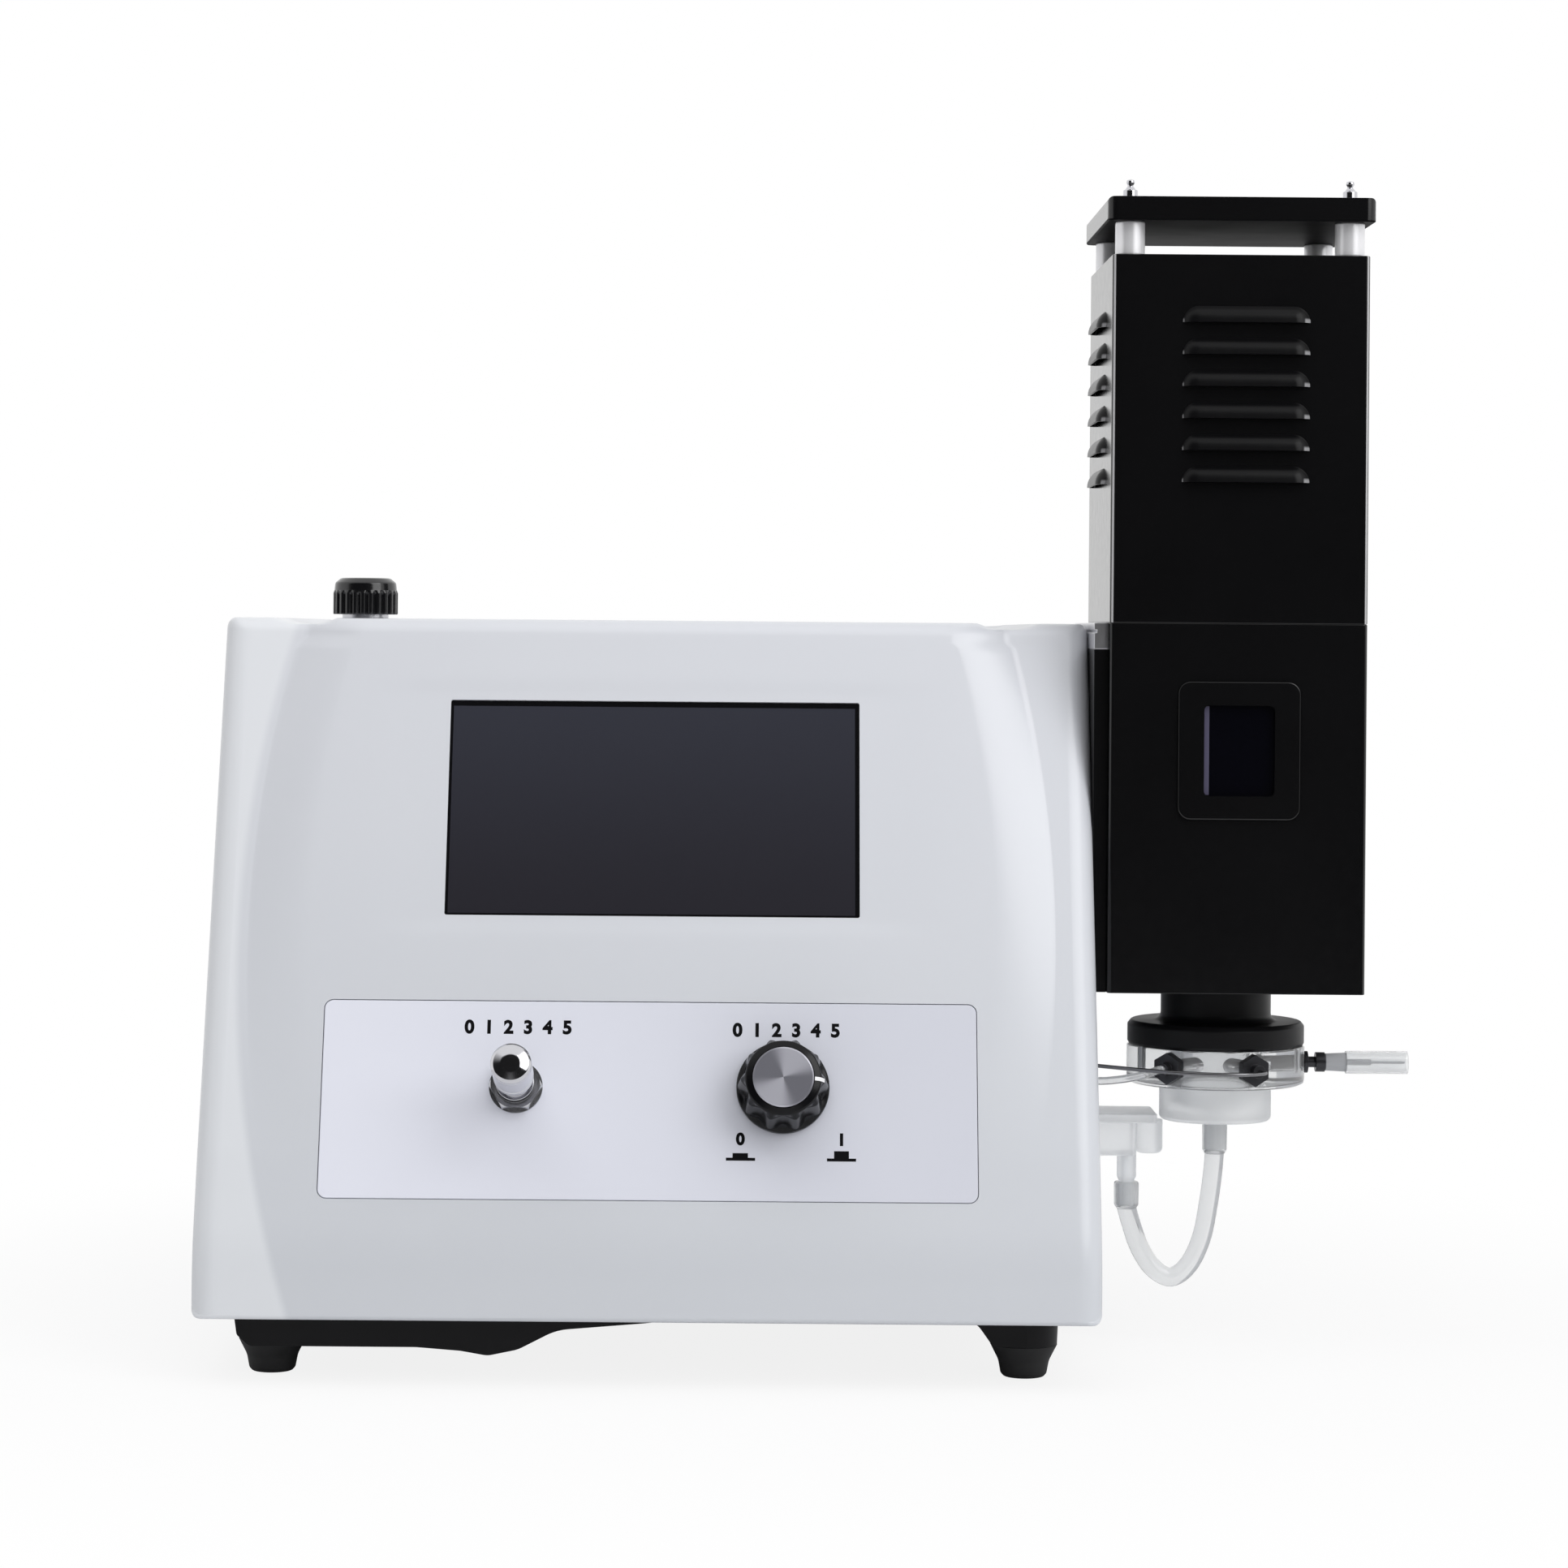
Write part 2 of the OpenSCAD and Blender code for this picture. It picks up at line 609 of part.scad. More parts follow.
module regulator_nut() placed() color(bare_metal) translate([reg_x, reg_y, shell_top_z])
    ring(18, reg_neck_d, 3);
module regulator_stem() placed() color(bright_metal)
    translate([reg_x, reg_y, shell_top_z - 33.5]) cylinder(d = reg_stem_d, h = 33.5 + reg_knob_h - 1.4);
module regulator_knob() placed() color(soft_black) translate([reg_x, reg_y, reg_knob_z]) difference() {
    rotate_extrude() polygon(reg_knob_outline);
    cylinder(d = reg_stem_d + 2 * fit, h = reg_knob_h - 3 + eps + 1);
    translate([0, 0, -1]) cylinder(d = reg_well_d, h = 1 + 5.2);
    for (i = [0 : reg_flutes - 1]) rotate(i * 360 / reg_flutes)
        translate([reg_knob_d / 2 + 0.35, 0, -1]) cylinder(r = 1, h = 1 + reg_knob_h - 5.2, $fn = 24);
}
reg_flutes = 24;
reg_knob_outline =
    let(r = reg_knob_d / 2, h = reg_knob_h)
    [[0, 0], [r, 0], [r, h - 4.3], [r - 0.8, h - 4], [r - 1, h - 2.6], [r - 1.5, h - 1.2],
     [r - 2.6, h - 0.4], [r - 4.4, h], [0, h]];

// ---- fine-adjust needle valve ----
fine_bush_d = 12;
fine_nut_h = 5.4;
fine_bonnet_end = fine_reach - fine_knob_h - 0.7;
fine_body_depth = 34;
module fine_valve_body() placed() color(brass_colour) on_face(-control_x, control_v) difference() {
    union() {
        translate([0, 0, -fine_body_depth]) hexagon_prism(20, fine_body_depth - shell_wall);
        translate([0, 0, -shell_wall - eps]) cylinder(d = fine_bush_d, h = shell_wall + 9);
        translate([0, 0, fine_nut_h]) cylinder(d = 14, h = 3.6);
        cylinder(d = 11, h = fine_bonnet_end);
        translate([0, 0, -24]) rotate([90, 0, 0]) cylinder(d = 7, h = 22);
        translate([0, 0, -fine_body_depth - 10]) cylinder(d = 7, h = 12);
    }
    translate([0, 0, -30]) cylinder(d = fine_stem_d + 2 * fit, h = 80);
    translate([0, 0, -60]) cylinder(d = 2, h = 40);
}
module fine_panel_nut() placed() color(bright_metal) on_face(-control_x, control_v) difference() {
    union() {
        cylinder(d = fine_nut_af + 2.6, h = 0.9);
        translate([0, 0, 0.9 - eps]) intersection() {
            hexagon_prism(fine_nut_af, fine_nut_h - 0.9);
            cylinder(d1 = fine_nut_af + 9, d2 = fine_nut_af + 1, h = fine_nut_h - 0.9);
        }
    }
    translate([0, 0, -1]) cylinder(d = fine_bush_d, h = 20);
}
module fine_needle() placed() color(bright_metal) on_face(-control_x, control_v) translate([0, 0, -31]) {
    cylinder(d1 = 0.6, d2 = 3.6, h = 6.6);
    translate([0, 0, 6.6 - eps]) cylinder(d = fine_stem_d, h = 3.2 + eps);
}
module fine_stem() placed() color(bright_metal)
    on_face(-control_x, control_v) translate([0, 0, -21.2]) cylinder(d = fine_stem_d, h = 21.2 + fine_reach - 4);
module fine_knob() placed() color(bright_metal)
    on_face(-control_x, control_v) translate([0, 0, fine_reach - fine_knob_h]) difference() {
        rotate_extrude() polygon(fine_knob_outline);
        translate([0, 0, -1]) cylinder(d = fine_stem_d, h = 1 + fine_knob_h - 4);
    }
fine_knob_outline =
    let(r = fine_knob_d / 2, h = fine_knob_h)
    [[0, 0], [r - 1, 0], [r, 0.8], [r, 3], [r - 0.5, 3.4], [r - 0.5, 4], [r, 4.4], [r, h - 4],
     [r - 0.3, h - 3.7], [r, h - 3.4], [r, h - fine_bevel], [r - fine_bevel, h], [r - 1.4, h], [0, h - 0.7]];

// ---- gas valve ----
gas_bush_d = 10;
gas_knob_gap = 1.2;
gas_well_d = 21;
module gas_valve_body() placed() color(brass_colour) on_face(control_x, control_v) difference() {
    union() {
        translate([0, 0, -34]) hexagon_prism(22, 34 - shell_wall);
        translate([0, 0, -shell_wall - eps]) cylinder(d = gas_bush_d, h = shell_wall + 5);
        for (side = [-1, 1]) translate([0, 0, -26]) rotate([0, side * 90, 0]) cylinder(d = 7, h = 24);
    }
    translate([0, 0, -20]) cylinder(d = gas_spindle_d + 2 * fit, h = 60);
    translate([0, 0, -30]) cylinder(d = 12 + 2 * fit, h = 7.4 + gas_travel);
}
module gas_valve_nut() placed() color(bare_metal) on_face(control_x, control_v) difference() {
    hexagon_prism(14, 3);
    translate([0, 0, -1]) cylinder(d = gas_bush_d, h = 6);
}
module gas_plunger() placed() color(bare_metal)
    on_face(control_x, control_v) translate([0, 0, -29.5]) cylinder(d = 12, h = 6.5);
module gas_spindle() placed() color(bare_metal)
    on_face(control_x, control_v) translate([0, 0, -23]) cylinder(d = gas_spindle_d, h = 23 + gas_knob_gap + gas_knob_h - 4);
module gas_knob() placed() color(soft_black)
    on_face(control_x, control_v) translate([0, 0, gas_knob_gap]) difference() {
        rotate_extrude() polygon(gas_knob_outline);
        cylinder(d = gas_spindle_d, h = gas_knob_h - 4);
        translate([0, 0, -1]) cylinder(d = gas_well_d, h = 1 + 6);
        translate([0, 0, gas_knob_h - gas_disc_sink]) cylinder(d = gas_disc_d, h = 3);
        for (i = [0 : gas_scallops - 1]) rotate((i + 0.5) * 360 / gas_scallops)
            translate([gas_knob_d / 2 + scallop_r - 2.2, 0, 3]) rotate([0, -6, 0]) cylinder(r = scallop_r, h = 30);
    }
scallop_r = 7;
gas_disc_sink = 0.8;
gas_knob_outline =
    let(r = gas_knob_d / 2, f = gas_knob_front_d / 2, h = gas_knob_h)
    [[0, 0], [r, 0], [r, 2.4], [r - 0.4, 3], [f + 0.6, h - 3.2], [f, h - 1.8], [f - 1, h - 0.8], [f - 2.4, h], [0, h]];
module gas_knob_disc() placed() color(bright_metal)
    on_face(control_x, control_v) translate([0, 0, gas_knob_gap + gas_knob_h - gas_disc_sink])
        rotate_extrude() polygon([[0, 0], [gas_disc_d / 2, 0], [gas_disc_d / 2, gas_disc_sink],
                                  [gas_disc_d / 2 - 0.4, gas_disc_sink + 0.3], [0, gas_disc_sink + 0.3]]);

// ---- light path between the housing and the tower ----
spacer_front_y = tower_front_y + 4;
spacer_back_y = tower_front_y + tower_d - 4;
trim_h = 10;
module tower_spacer() placed() color(sheet_black) difference() {
    translate([body_w / 2, spacer_front_y, tower_base_z])
        cube([tower_gap, spacer_back_y - spacer_front_y, trim_top_z - trim_h - tower_base_z]);
    translate([body_w / 2 - 10, burner_y, window_z]) rotate([0, 90, 0]) cylinder(d = light_d, h = 30);
}
module spacer_trim() placed() color(bright_metal)
    translate([body_w / 2, spacer_front_y, trim_top_z - trim_h]) difference() {
        cube([tower_gap, spacer_back_y - spacer_front_y, trim_h]);
        translate([-1, -1, 6.2]) cube([2, 200, 1]);
    }

optics_x = body_w / 2 - shell_wall - 62;
module optics_block() placed() color(sheet_black) translate([optics_x, burner_y, window_z]) difference() {
    union() {
        translate([0, -26, -26]) cube([34, 52, 52]);
        translate([34 - eps, 0, 0]) rotate([0, 90, 0]) cylinder(d = 34, h = 28);
    }
    translate([8, 0, 0]) rotate([0, 90, 0]) cylinder(d = light_d, h = 60);
    translate([36, 0, 0]) rotate([0, 90, 0]) cylinder(d = 26, h = 40);
    for (side = [-1, 1]) translate([-1, side * 13, 0]) rotate([0, 90, 0]) cylinder(d = 10, h = 20);
}
lens_bulge = 2;
lens_outline =
    concat([for (i = [0 : 4]) [13 * i / 4, lens_bulge * pow(i / 4, 2)]],
           [for (i = [4 : -1 : 0]) [13 * i / 4, 6 - lens_bulge * pow(i / 4, 2)]]);
module lens() placed() color("#bcd8e8")
    translate([optics_x + 46, burner_y, window_z]) rotate([0, 90, 0]) rotate_extrude() polygon(lens_outline);
module optical_filters() placed() color("#c07a2c")
    for (side = [-1, 1]) translate([optics_x + 3, burner_y + side * 13, window_z]) rotate([0, 90, 0]) cylinder(d = 10, h = 3);
module detector_board() placed() color(board_green) translate([optics_x - 1.6, burner_y, window_z]) {
    translate([0, -24, -24]) cube([1.6, 48, 48]);
    translate([-3, -8, -8]) cube([3 + eps, 16, 16]);
    // the two photodiodes
    for (side = [-1, 1]) translate([1.6 - eps, side * 13, 0]) rotate([0, 90, 0]) cylinder(d = 9, h = 3 + eps);
}

// ---- tower ----
module tower_tube(z0, h, depth) {
    translate([tower_mid_x, tower_mid_y, z0]) slab(tower_w - 2 * depth, tower_d - 2 * depth, h, 1.8 - depth);
}
window_w = 26.6;
window_h = 34;
frame_w = 45.8;
frame_h = 51.8;
frame_t = 1.2;
window_r = 2;
floor_t = 2;
lip_h = 8;
module flame_box() placed() color(sheet_black) difference() {
    union() {
        tower_tube(tower_base_z, flame_box_h, 0);
        // locating lip for the lift-off cover
        translate([0, 0, flame_box_h - 4]) translate([tower_mid_x, tower_mid_y, tower_base_z])
            slab(tower_w - 2 * (sheet_t + slip), tower_d - 2 * (sheet_t + slip), lip_h + 4, 0.6);
    }
    translate([tower_mid_x, tower_mid_y, tower_base_z + floor_t])
        slab(tower_w - 2 * sheet_t, tower_d - 2 * sheet_t, flame_box_h - floor_t - 4, 0.6);
    translate([tower_mid_x, tower_mid_y, tower_base_z + floor_t])
        slab(tower_w - 4 * sheet_t - 2 * slip, tower_d - 4 * sheet_t - 2 * slip, flame_box_h + 20, 0.6);
    translate([burner_x, burner_y, tower_base_z - 1]) cylinder(d = neck_d, h = 10);
    translate([tower_mid_x + window_shift, tower_front_y + 5, window_z]) rotate([90, 0, 0]) slab(window_w, window_h, 10, window_r);
    translate([tower_x - 5, burner_y, window_z]) rotate([0, 90, 0]) cylinder(d = light_d, h = 10);
}
window_shift = 0.4;
module window_frame() placed() color(sheet_black)
    translate([tower_mid_x + window_shift, tower_front_y, window_z]) rotate([90, 0, 0]) difference() {
        slab(frame_w, frame_h, frame_t, 4.6);
        translate([0, 0, -1]) slab(window_w, window_h, 5, window_r);
    }
module window_glass() placed() color("#1a1b2a")
    translate([tower_mid_x + window_shift, tower_front_y + sheet_t + 2, window_z]) rotate([90, 0, 0])
        slab(window_w + 8, window_h + 8, 2, 1);

// A pressed louvre hood that opens downwards. Each station is [distance out of the wall,
// half width, height]; the inner one clears the slot behind the hood
louvre_shift = 2;
hood_outer = [[-0.6, louvre_w / 2, 7.2], [2.2, louvre_w / 2 - 2.2, 6.2], [3.5, louvre_w / 2 - 5.5, 3.4]];
hood_inner = [[-5, louvre_w / 2 - 1.2, 6.3], [1.4, louvre_w / 2 - 3.2, 5.2], [2.5, louvre_w / 2 - 6, 3]];
module hood(stations, low) {
    points = [for (s = stations) each [[-s[1], -s[0], low], [s[1], -s[0], low], [s[1], -s[0], s[2]],
                                       [-s[1], -s[0], s[2]]]];
    sides = [for (i = [0 : len(stations) - 2], k = [0 : 3])
             let(k1 = (k + 1) % 4)
             [i * 4 + k, (i + 1) * 4 + k, (i + 1) * 4 + k1, i * 4 + k1]];
    last = 4 * (len(stations) - 1);
    polyhedron(points = points, faces = concat(sides, [[0, 1, 2, 3], [last, last + 3, last + 2, last + 1]]));
}
module on_three_sides() {
    translate([tower_mid_x + louvre_shift, tower_front_y, 0]) children();
    translate([tower_x, tower_mid_y, 0]) rotate(-90) children();
    translate([tower_x + tower_w, tower_mid_y, 0]) rotate(90) children();
}
module louvre_row() {
    for (i = [0 : louvre_count - 1]) translate([0, 0, cover_z + louvre_low + i * louvre_pitch]) children();
}
module chimney_cover() placed() color(sheet_black) difference() {
    union() {
        tower_tube(cover_z, chimney_h, 0);
        on_three_sides() louvre_row() hood(hood_outer, 0);
    }
    tower_tube(cover_z - 1, chimney_h + 1 - sheet_t, sheet_t);
    on_three_sides() louvre_row() hood(hood_inner, -0.4);
    translate([tower_mid_x, tower_mid_y, cover_top_z - 10]) slab(tower_w - 26, tower_d - 26, 20, 6);
    for (p = post_places) translate([p[0], p[1], cover_top_z - 10]) cylinder(d = stud_d + 2 * fit, h = 20);
}

stud_d = 4;
post_places =
    [for (sx = [-1, 1], sy = [-1, 1])
        [tower_mid_x + sx * (tower_w / 2 - post_inset), tower_mid_y + sy * (tower_d / 2 - post_inset)]];
module top_cap() placed() color(sheet_black) difference() {
    translate([tower_mid_x, tower_mid_y, cap_z]) intersection() {
        slab(tower_w + 2 * cap_over, tower_d + 2 * cap_over, cap_t, 4);
        rotate([90, 0, 0]) translate([0, 0, -200]) linear_extrude(400)
            polygon(rounded(box_outline(-tower_w / 2 - cap_over, 0, tower_w / 2 + cap_over, cap_t), [0.8, 2, 2, 0.8]));
    }
    for (p = post_places) translate([p[0], p[1], cap_z - 1]) cylinder(d = stud_d + 2 * fit, h = 20);
}
module cap_posts() placed() color(bright_metal)
    for (p = post_places) translate([p[0], p[1], cover_top_z]) difference() {
        rotate_extrude() polygon([[0, 0], [post_d / 2 - 0.4, 0], [post_d / 2, 0.4], [post_d / 2, post_h - 0.4],
                                  [post_d / 2 - 0.4, post_h], [0, post_h]]);
        translate([0, 0, -1]) cylinder(d = stud_d + 2 * fit, h = post_h + 2);
    }
module cap_nuts() placed() color(bright_metal)
    for (p = post_places) translate([p[0], p[1], 0]) {
        translate([0, 0, cover_top_z - sheet_t - 3]) cylinder(d = 7, h = 3);
        translate([0, 0, cover_top_z - sheet_t - eps]) cylinder(d = stud_d, h = cap_z + cap_t - cover_top_z + sheet_t + 0.3);
        translate([0, 0, cap_z + cap_t]) {
            cylinder(d = 6.4, h = 0.5);
            translate([0, 0, 0.4]) hexagon_prism(4.8, 2.6);
            translate([0, 0, 2.9]) cylinder(d1 = 3.6, d2 = 2.2, h = 1.2);
            translate([0, 0, 5.6]) sphere(d = 3.2, $fn = 24);
        }
    }

// ---- burner ----
module at_burner(z) { translate([burner_x, burner_y, z]) children(); }
module burner_mount() placed() color(soft_black) at_burner(0) rotate_extrude() polygon(burner_outline);
burner_outline =
    let(bore = chamber_d / 2, neck = neck_d / 2, rim = flange_d / 2, low = flange_z, high = flange_z + flange_t,
        top = tower_base_z + floor_t + 4)
    concat([[bore, low], [rim - 1.5, low], [rim - 0.4, low + 0.5], [rim, low + 1.6], [rim, high - 2],
            [rim - 0.6, high - 0.7], [rim - 2, high]],
           [for (i = [0 : 4]) [neck + 3 - 3 * sin(i * 22.5), high + 3 - 3 * cos(i * 22.5)]],
           [[neck, top], [bore, top]]);
module burner_head() placed() color(bare_metal) at_burner(tower_base_z + floor_t + 4) difference() {
    union() {
        cylinder(d = chamber_d + 4, h = 5);
        cylinder(d = 24, h = 42);
    }
    translate([0, 0, -1]) cylinder(d = 18, h = 38);
    for (i = [0 : 5]) rotate(i * 60) translate([7, 0, 30]) cylinder(d = 2.4, h = 20, $fn = 24);
    translate([0, 0, 30]) cylinder(d = 4, h = 20, $fn = 24);
}
glass_z = tower_base_z + floor_t;
glass_d = 56;
glass_wall = 2.5;
glass_h = 150;
module glass_chimney() placed() color(clear_plastic) at_burner(glass_z) ring(glass_d, glass_d - 2 * glass_wall, glass_h);
module igniter() placed() color("#d8d2c4") at_burner(glass_z + 4) {
    translate([18.4, 0, 0]) cylinder(d = 5, h = 36);
    translate([18.4, 0, 36 - eps]) cylinder(d = 1.6, h = 9);
    translate([13.5, 0, 44]) rotate([0, 90, 0]) cylinder(d = 1.6, h = 5.6);
}

screw_ring = 30;
screw_turns = [22.5, 157.5, 202.5, 337.5];
module mixing_disc() placed() color(clear_plastic) at_burner(disc_z) difference() {
    rotate_extrude() polygon([[chamber_d / 2, 0], [disc_d / 2 - 1.6, 0], [disc_d / 2 - 0.4, 0.6], [disc_d / 2, 2],
                              [disc_d / 2, disc_t - 0.6], [disc_d / 2 - 0.5, disc_t], [chamber_d / 2, disc_t]]);
    for (a = screw_turns) rotate(a) translate([screw_ring, 0, 5]) cylinder(d = 4.2, h = 20);
    translate([0, 0, inlet_z - disc_z]) rotate([0, 90, 0]) cylinder(d = 6, h = 50);
    for (a = [gas_turn, air_turn]) rotate(a) translate([0, 0, inlet_z - disc_z]) rotate([0, 90, 0]) cylinder(d = 6, h = 50);
}
module disc_screws() placed() color(bright_metal)
    for (a = screw_turns) at_burner(disc_z + 5.3) rotate(a) translate([screw_ring, 0, 0]) cylinder(d = 3.8, h = disc_t - 5.3);
module drain_cup() placed() color(milky_plastic) at_burner(cup_z) rotate_extrude() polygon(cup_outline);
nipple_l = 12;
hose_bore = 1.6;
cup_outline =
    let(r = cup_d / 2, n = nipple_d / 2)
    [[hose_bore, -nipple_l], [n, -nipple_l], [n, -1], [n + 2, 0], [r - 0.8, 0], [r, 0.8], [r, cup_h],
     [chamber_d / 2, cup_h], [chamber_d / 2, 6], [hose_bore, 3]];

gas_turn = 234.6;
air_turn = 287.2;
module nebuliser() placed() color("#4a4c52") at_burner(inlet_z) rotate([0, 90, 0]) difference() {
    union() {
        translate([0, 0, 15]) cylinder(d = 6, h = disc_d / 2 - 15);
        translate([0, 0, disc_d / 2]) cylinder(d = 8.4, h = 1.4);
        translate([0, 0, disc_d / 2 - 1]) cylinder(d = 4.2, h = 8);
        translate([0, 0, disc_d / 2 + 4.4]) cylinder(d = 7.6, h = 3.6);
        translate([0, 0, disc_d / 2 + 8]) cylinder(d1 = 6.6, d2 = 7.4, h = 8.2);
        translate([0, 0, disc_d / 2 + 16]) cylinder(d = 2.4, h = 10);
        translate([0, 0, disc_d / 2 + 26 - eps]) cylinder(d = 1, h = 13);
    }
    translate([0, 0, 10]) cylinder(d = 0.5, h = 90, $fn = 16);
}
module sample_sleeve() placed() color(clear_plastic) at_burner(inlet_z)
    translate([disc_d / 2 + 16.2, 0, 0]) rotate([0, 90, 0]) ring(8.8, 7.2, sleeve_end_x - burner_x - disc_d / 2 - 16.2);

// Radial fittings and the two small tubes that run from them into the housing
fitting_end = disc_d / 2 + 7.4;
module fittings() placed() color("#3a3b40") at_burner(inlet_z)
    for (a = [gas_turn, air_turn]) rotate(a) difference() {
        union() {
            translate([15, 0, 0]) rotate([0, 90, 0]) cylinder(d = 6, h = disc_d / 2 - 14.5);
            translate([disc_d / 2, 0, 0]) rotate([0, 90, 0]) hexagon_prism(10.6, 4);
            translate([disc_d / 2 + 3.9, 0, 0]) rotate([0, 90, 0]) cylinder(d = 5, h = 3.5);
        }
        translate([10, 0, 0]) rotate([0, 90, 0]) cylinder(d = 1.2, h = 60);
    }
hose_entry_y = 84;
gas_entry_z = inlet_z - 5;
air_entry_z = inlet_z + 1;

// Curve through hand-chosen points, a ring of points about it, and the solid between the rings
function curve_point(p, i, u) =
    let(a = p[max(i - 1, 0)], b = p[i], c = p[i + 1], d = p[min(i + 2, len(p) - 1)])
    b + u * (c - a) / 2 + u * u * (2 * a - 5 * b + 4 * c - d) / 2 + u * u * u * (3 * b - a - 3 * c + d) / 2;
function curve(p, steps) =
    concat([for (i = [0 : len(p) - 2], k = [0 : steps - 1]) curve_point(p, i, k / steps)], [p[len(p) - 1]]);
function heading(p, i) = unit(p[min(i + 1, len(p) - 1)] - p[max(i - 1, 0)]);
function ring_points(c, t, side_ref, r, n) =
    let(a = unit(cross(t, side_ref)), b = cross(a, t))
    [for (k = [0 : n - 1]) c + r * (cos(k * 360 / n) * a + sin(k * 360 / n) * b)];
module sweep(path, r, n, side_ref) {
    last = len(path) - 1;
    points = [for (i = [0 : last]) each ring_points(path[i], heading(path, i), side_ref, r, n)];
    walls = [for (i = [0 : last - 1], k = [0 : n - 1])
             let(k1 = (k + 1) % n)
             [i * n + k, i * n + k1, (i + 1) * n + k1, (i + 1) * n + k]];
    ends = [[for (k = [n - 1 : -1 : 0]) k], [for (k = [0 : n - 1]) last * n + k]];
    polyhedron(points = points, faces = concat(walls, ends), convexity = 4);
}

function beside(turn, reach) = [burner_x + reach * cos(turn), burner_y + reach * sin(turn), inlet_z];
side_x = body_w / 2;
gas_route =
    [[side_x - 7, hose_entry_y, gas_entry_z], [side_x, hose_entry_y, gas_entry_z],
     [side_x + 7, burner_y - 30, gas_entry_z + 0.2], [side_x + 15, burner_y - 35.4, gas_entry_z + 1.8],
     [side_x + 21, burner_y - 40.4, inlet_z - 1.2], beside(gas_turn, fitting_end + 4), beside(gas_turn, fitting_end)];
air_route =
    [[side_x - 7, hose_entry_y, air_entry_z], [side_x, hose_entry_y, air_entry_z],
     [side_x + 9, burner_y - 34, air_entry_z - 0.2], [side_x + 25, burner_y - 45, inlet_z + 0.5],
     [burner_x - 9, burner_y - 51.4, inlet_z + 0.2], [burner_x + 5, burner_y - 51.2, inlet_z + 0.1],
     beside(air_turn, fitting_end + 5), beside(air_turn, fitting_end)];
module gas_tube() placed() color(clear_plastic) sweep(curve(gas_route, 3), 1.5, 10, [0, 0, 1]);
module air_tube() placed() color(bright_metal) sweep(curve(air_route, 4), 0.75, 8, [0, 0, 1]);

// ---- drain hose, swept along hand-chosen points ----
waste_x = side_x + 18;
waste_bracket_w = 28.5;
waste_cap_d = 10.6;
waste_nipple_z = 61;
hose_route =
    [[burner_x, burner_y, cup_z - nipple_l - 0.5], [burner_x - 0.6, burner_y, 66],
     [burner_x - 2.1, burner_y, 54.2], [burner_x - 4.8, burner_y, 40.3], [burner_x - 9.8, burner_y, 29.8],
     [waste_x + 17.5, burner_y, 25.1], [waste_x + 10.6, burner_y, 28.5], [waste_x + 5.3, burner_y, 36.4],
     [waste_x + 1.8, burner_y, 46.1], [waste_x, burner_y, waste_nipple_z - 8.5]];
module hose_cuff(x, z_end, up, l) {
    translate([x, burner_y, z_end]) mirror([0, 0, up ? 0 : 1]) difference() {
        translate([0, 0, -1]) cylinder(d = hose_d + 2, h = 1 + l);
        cylinder(d = nipple_d, h = l + 1);
    }
}
module drain_hose() placed() color(milky_plastic) {
    sweep(curve(hose_route, 3), hose_d / 2, 12, [0, 1, 0]);
    hose_cuff(burner_x, cup_z - nipple_l, true, nipple_l - 1.4);
    hose_cuff(waste_x, waste_nipple_z - 8, true, 9);
}

module waste_port() placed() color(milky_plastic) difference() {
    union() {
        translate([side_x, burner_y - 14, 86]) cube([waste_bracket_w, 28, 3.6]);
        translate([side_x, burner_y - 10, 73]) cube([21, 20, 13.1]);
        translate([side_x + 26.5, burner_y, 73]) cylinder(d = waste_cap_d, h = 13.1);
        translate([waste_x, burner_y, waste_nipple_z - 8]) cylinder(d = nipple_d, h = 21);
        translate([waste_x, burner_y, waste_nipple_z + 3]) cylinder(d = 7.4, h = 10);
    }
    translate([waste_x, burner_y, 40]) cylinder(r = hose_bore, h = 40);
}

housing_shell();
base_pan();
rubber_feet();
rear_panel();
rear_screws();
control_plate();
touch_glass();
display_module();
display_board();
main_board();
power_supply();
mains_inlet();
switch_frame();
switch_rocker();
data_port();
gas_inlet();
air_inlet();
regulator_body();
regulator_nut();
regulator_stem();
regulator_knob();
fine_valve_body();
fine_panel_nut();
fine_needle();
fine_stem();
fine_knob();
gas_valve_body();
gas_valve_nut();
gas_plunger();
gas_spindle();
gas_knob();
gas_knob_disc();
tower_spacer();
spacer_trim();
optics_block();
lens();
optical_filters();
detector_board();
flame_box();
window_frame();
window_glass();
chimney_cover();
top_cap();
cap_posts();
cap_nuts();
burner_mount();
burner_head();
glass_chimney();
igniter();
mixing_disc();
disc_screws();
drain_cup();
nebuliser();
sample_sleeve();
fittings();
gas_tube();
air_tube();
drain_hose();
waste_port();
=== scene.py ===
import math

import bmesh
import bpy
import numpy as np
from mathutils import Matrix, Vector


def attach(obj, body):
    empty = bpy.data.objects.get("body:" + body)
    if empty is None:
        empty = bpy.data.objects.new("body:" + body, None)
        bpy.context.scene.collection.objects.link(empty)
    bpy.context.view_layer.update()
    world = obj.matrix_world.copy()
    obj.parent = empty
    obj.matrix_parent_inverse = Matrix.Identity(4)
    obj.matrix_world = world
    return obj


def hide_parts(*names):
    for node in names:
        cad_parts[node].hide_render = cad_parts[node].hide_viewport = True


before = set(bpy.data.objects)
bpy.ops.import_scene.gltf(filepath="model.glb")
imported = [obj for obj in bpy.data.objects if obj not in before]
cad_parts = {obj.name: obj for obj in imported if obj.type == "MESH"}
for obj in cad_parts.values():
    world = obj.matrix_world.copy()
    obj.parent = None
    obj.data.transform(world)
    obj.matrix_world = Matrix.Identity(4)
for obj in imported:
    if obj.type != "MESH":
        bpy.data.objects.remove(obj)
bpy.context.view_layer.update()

scene = bpy.context.scene

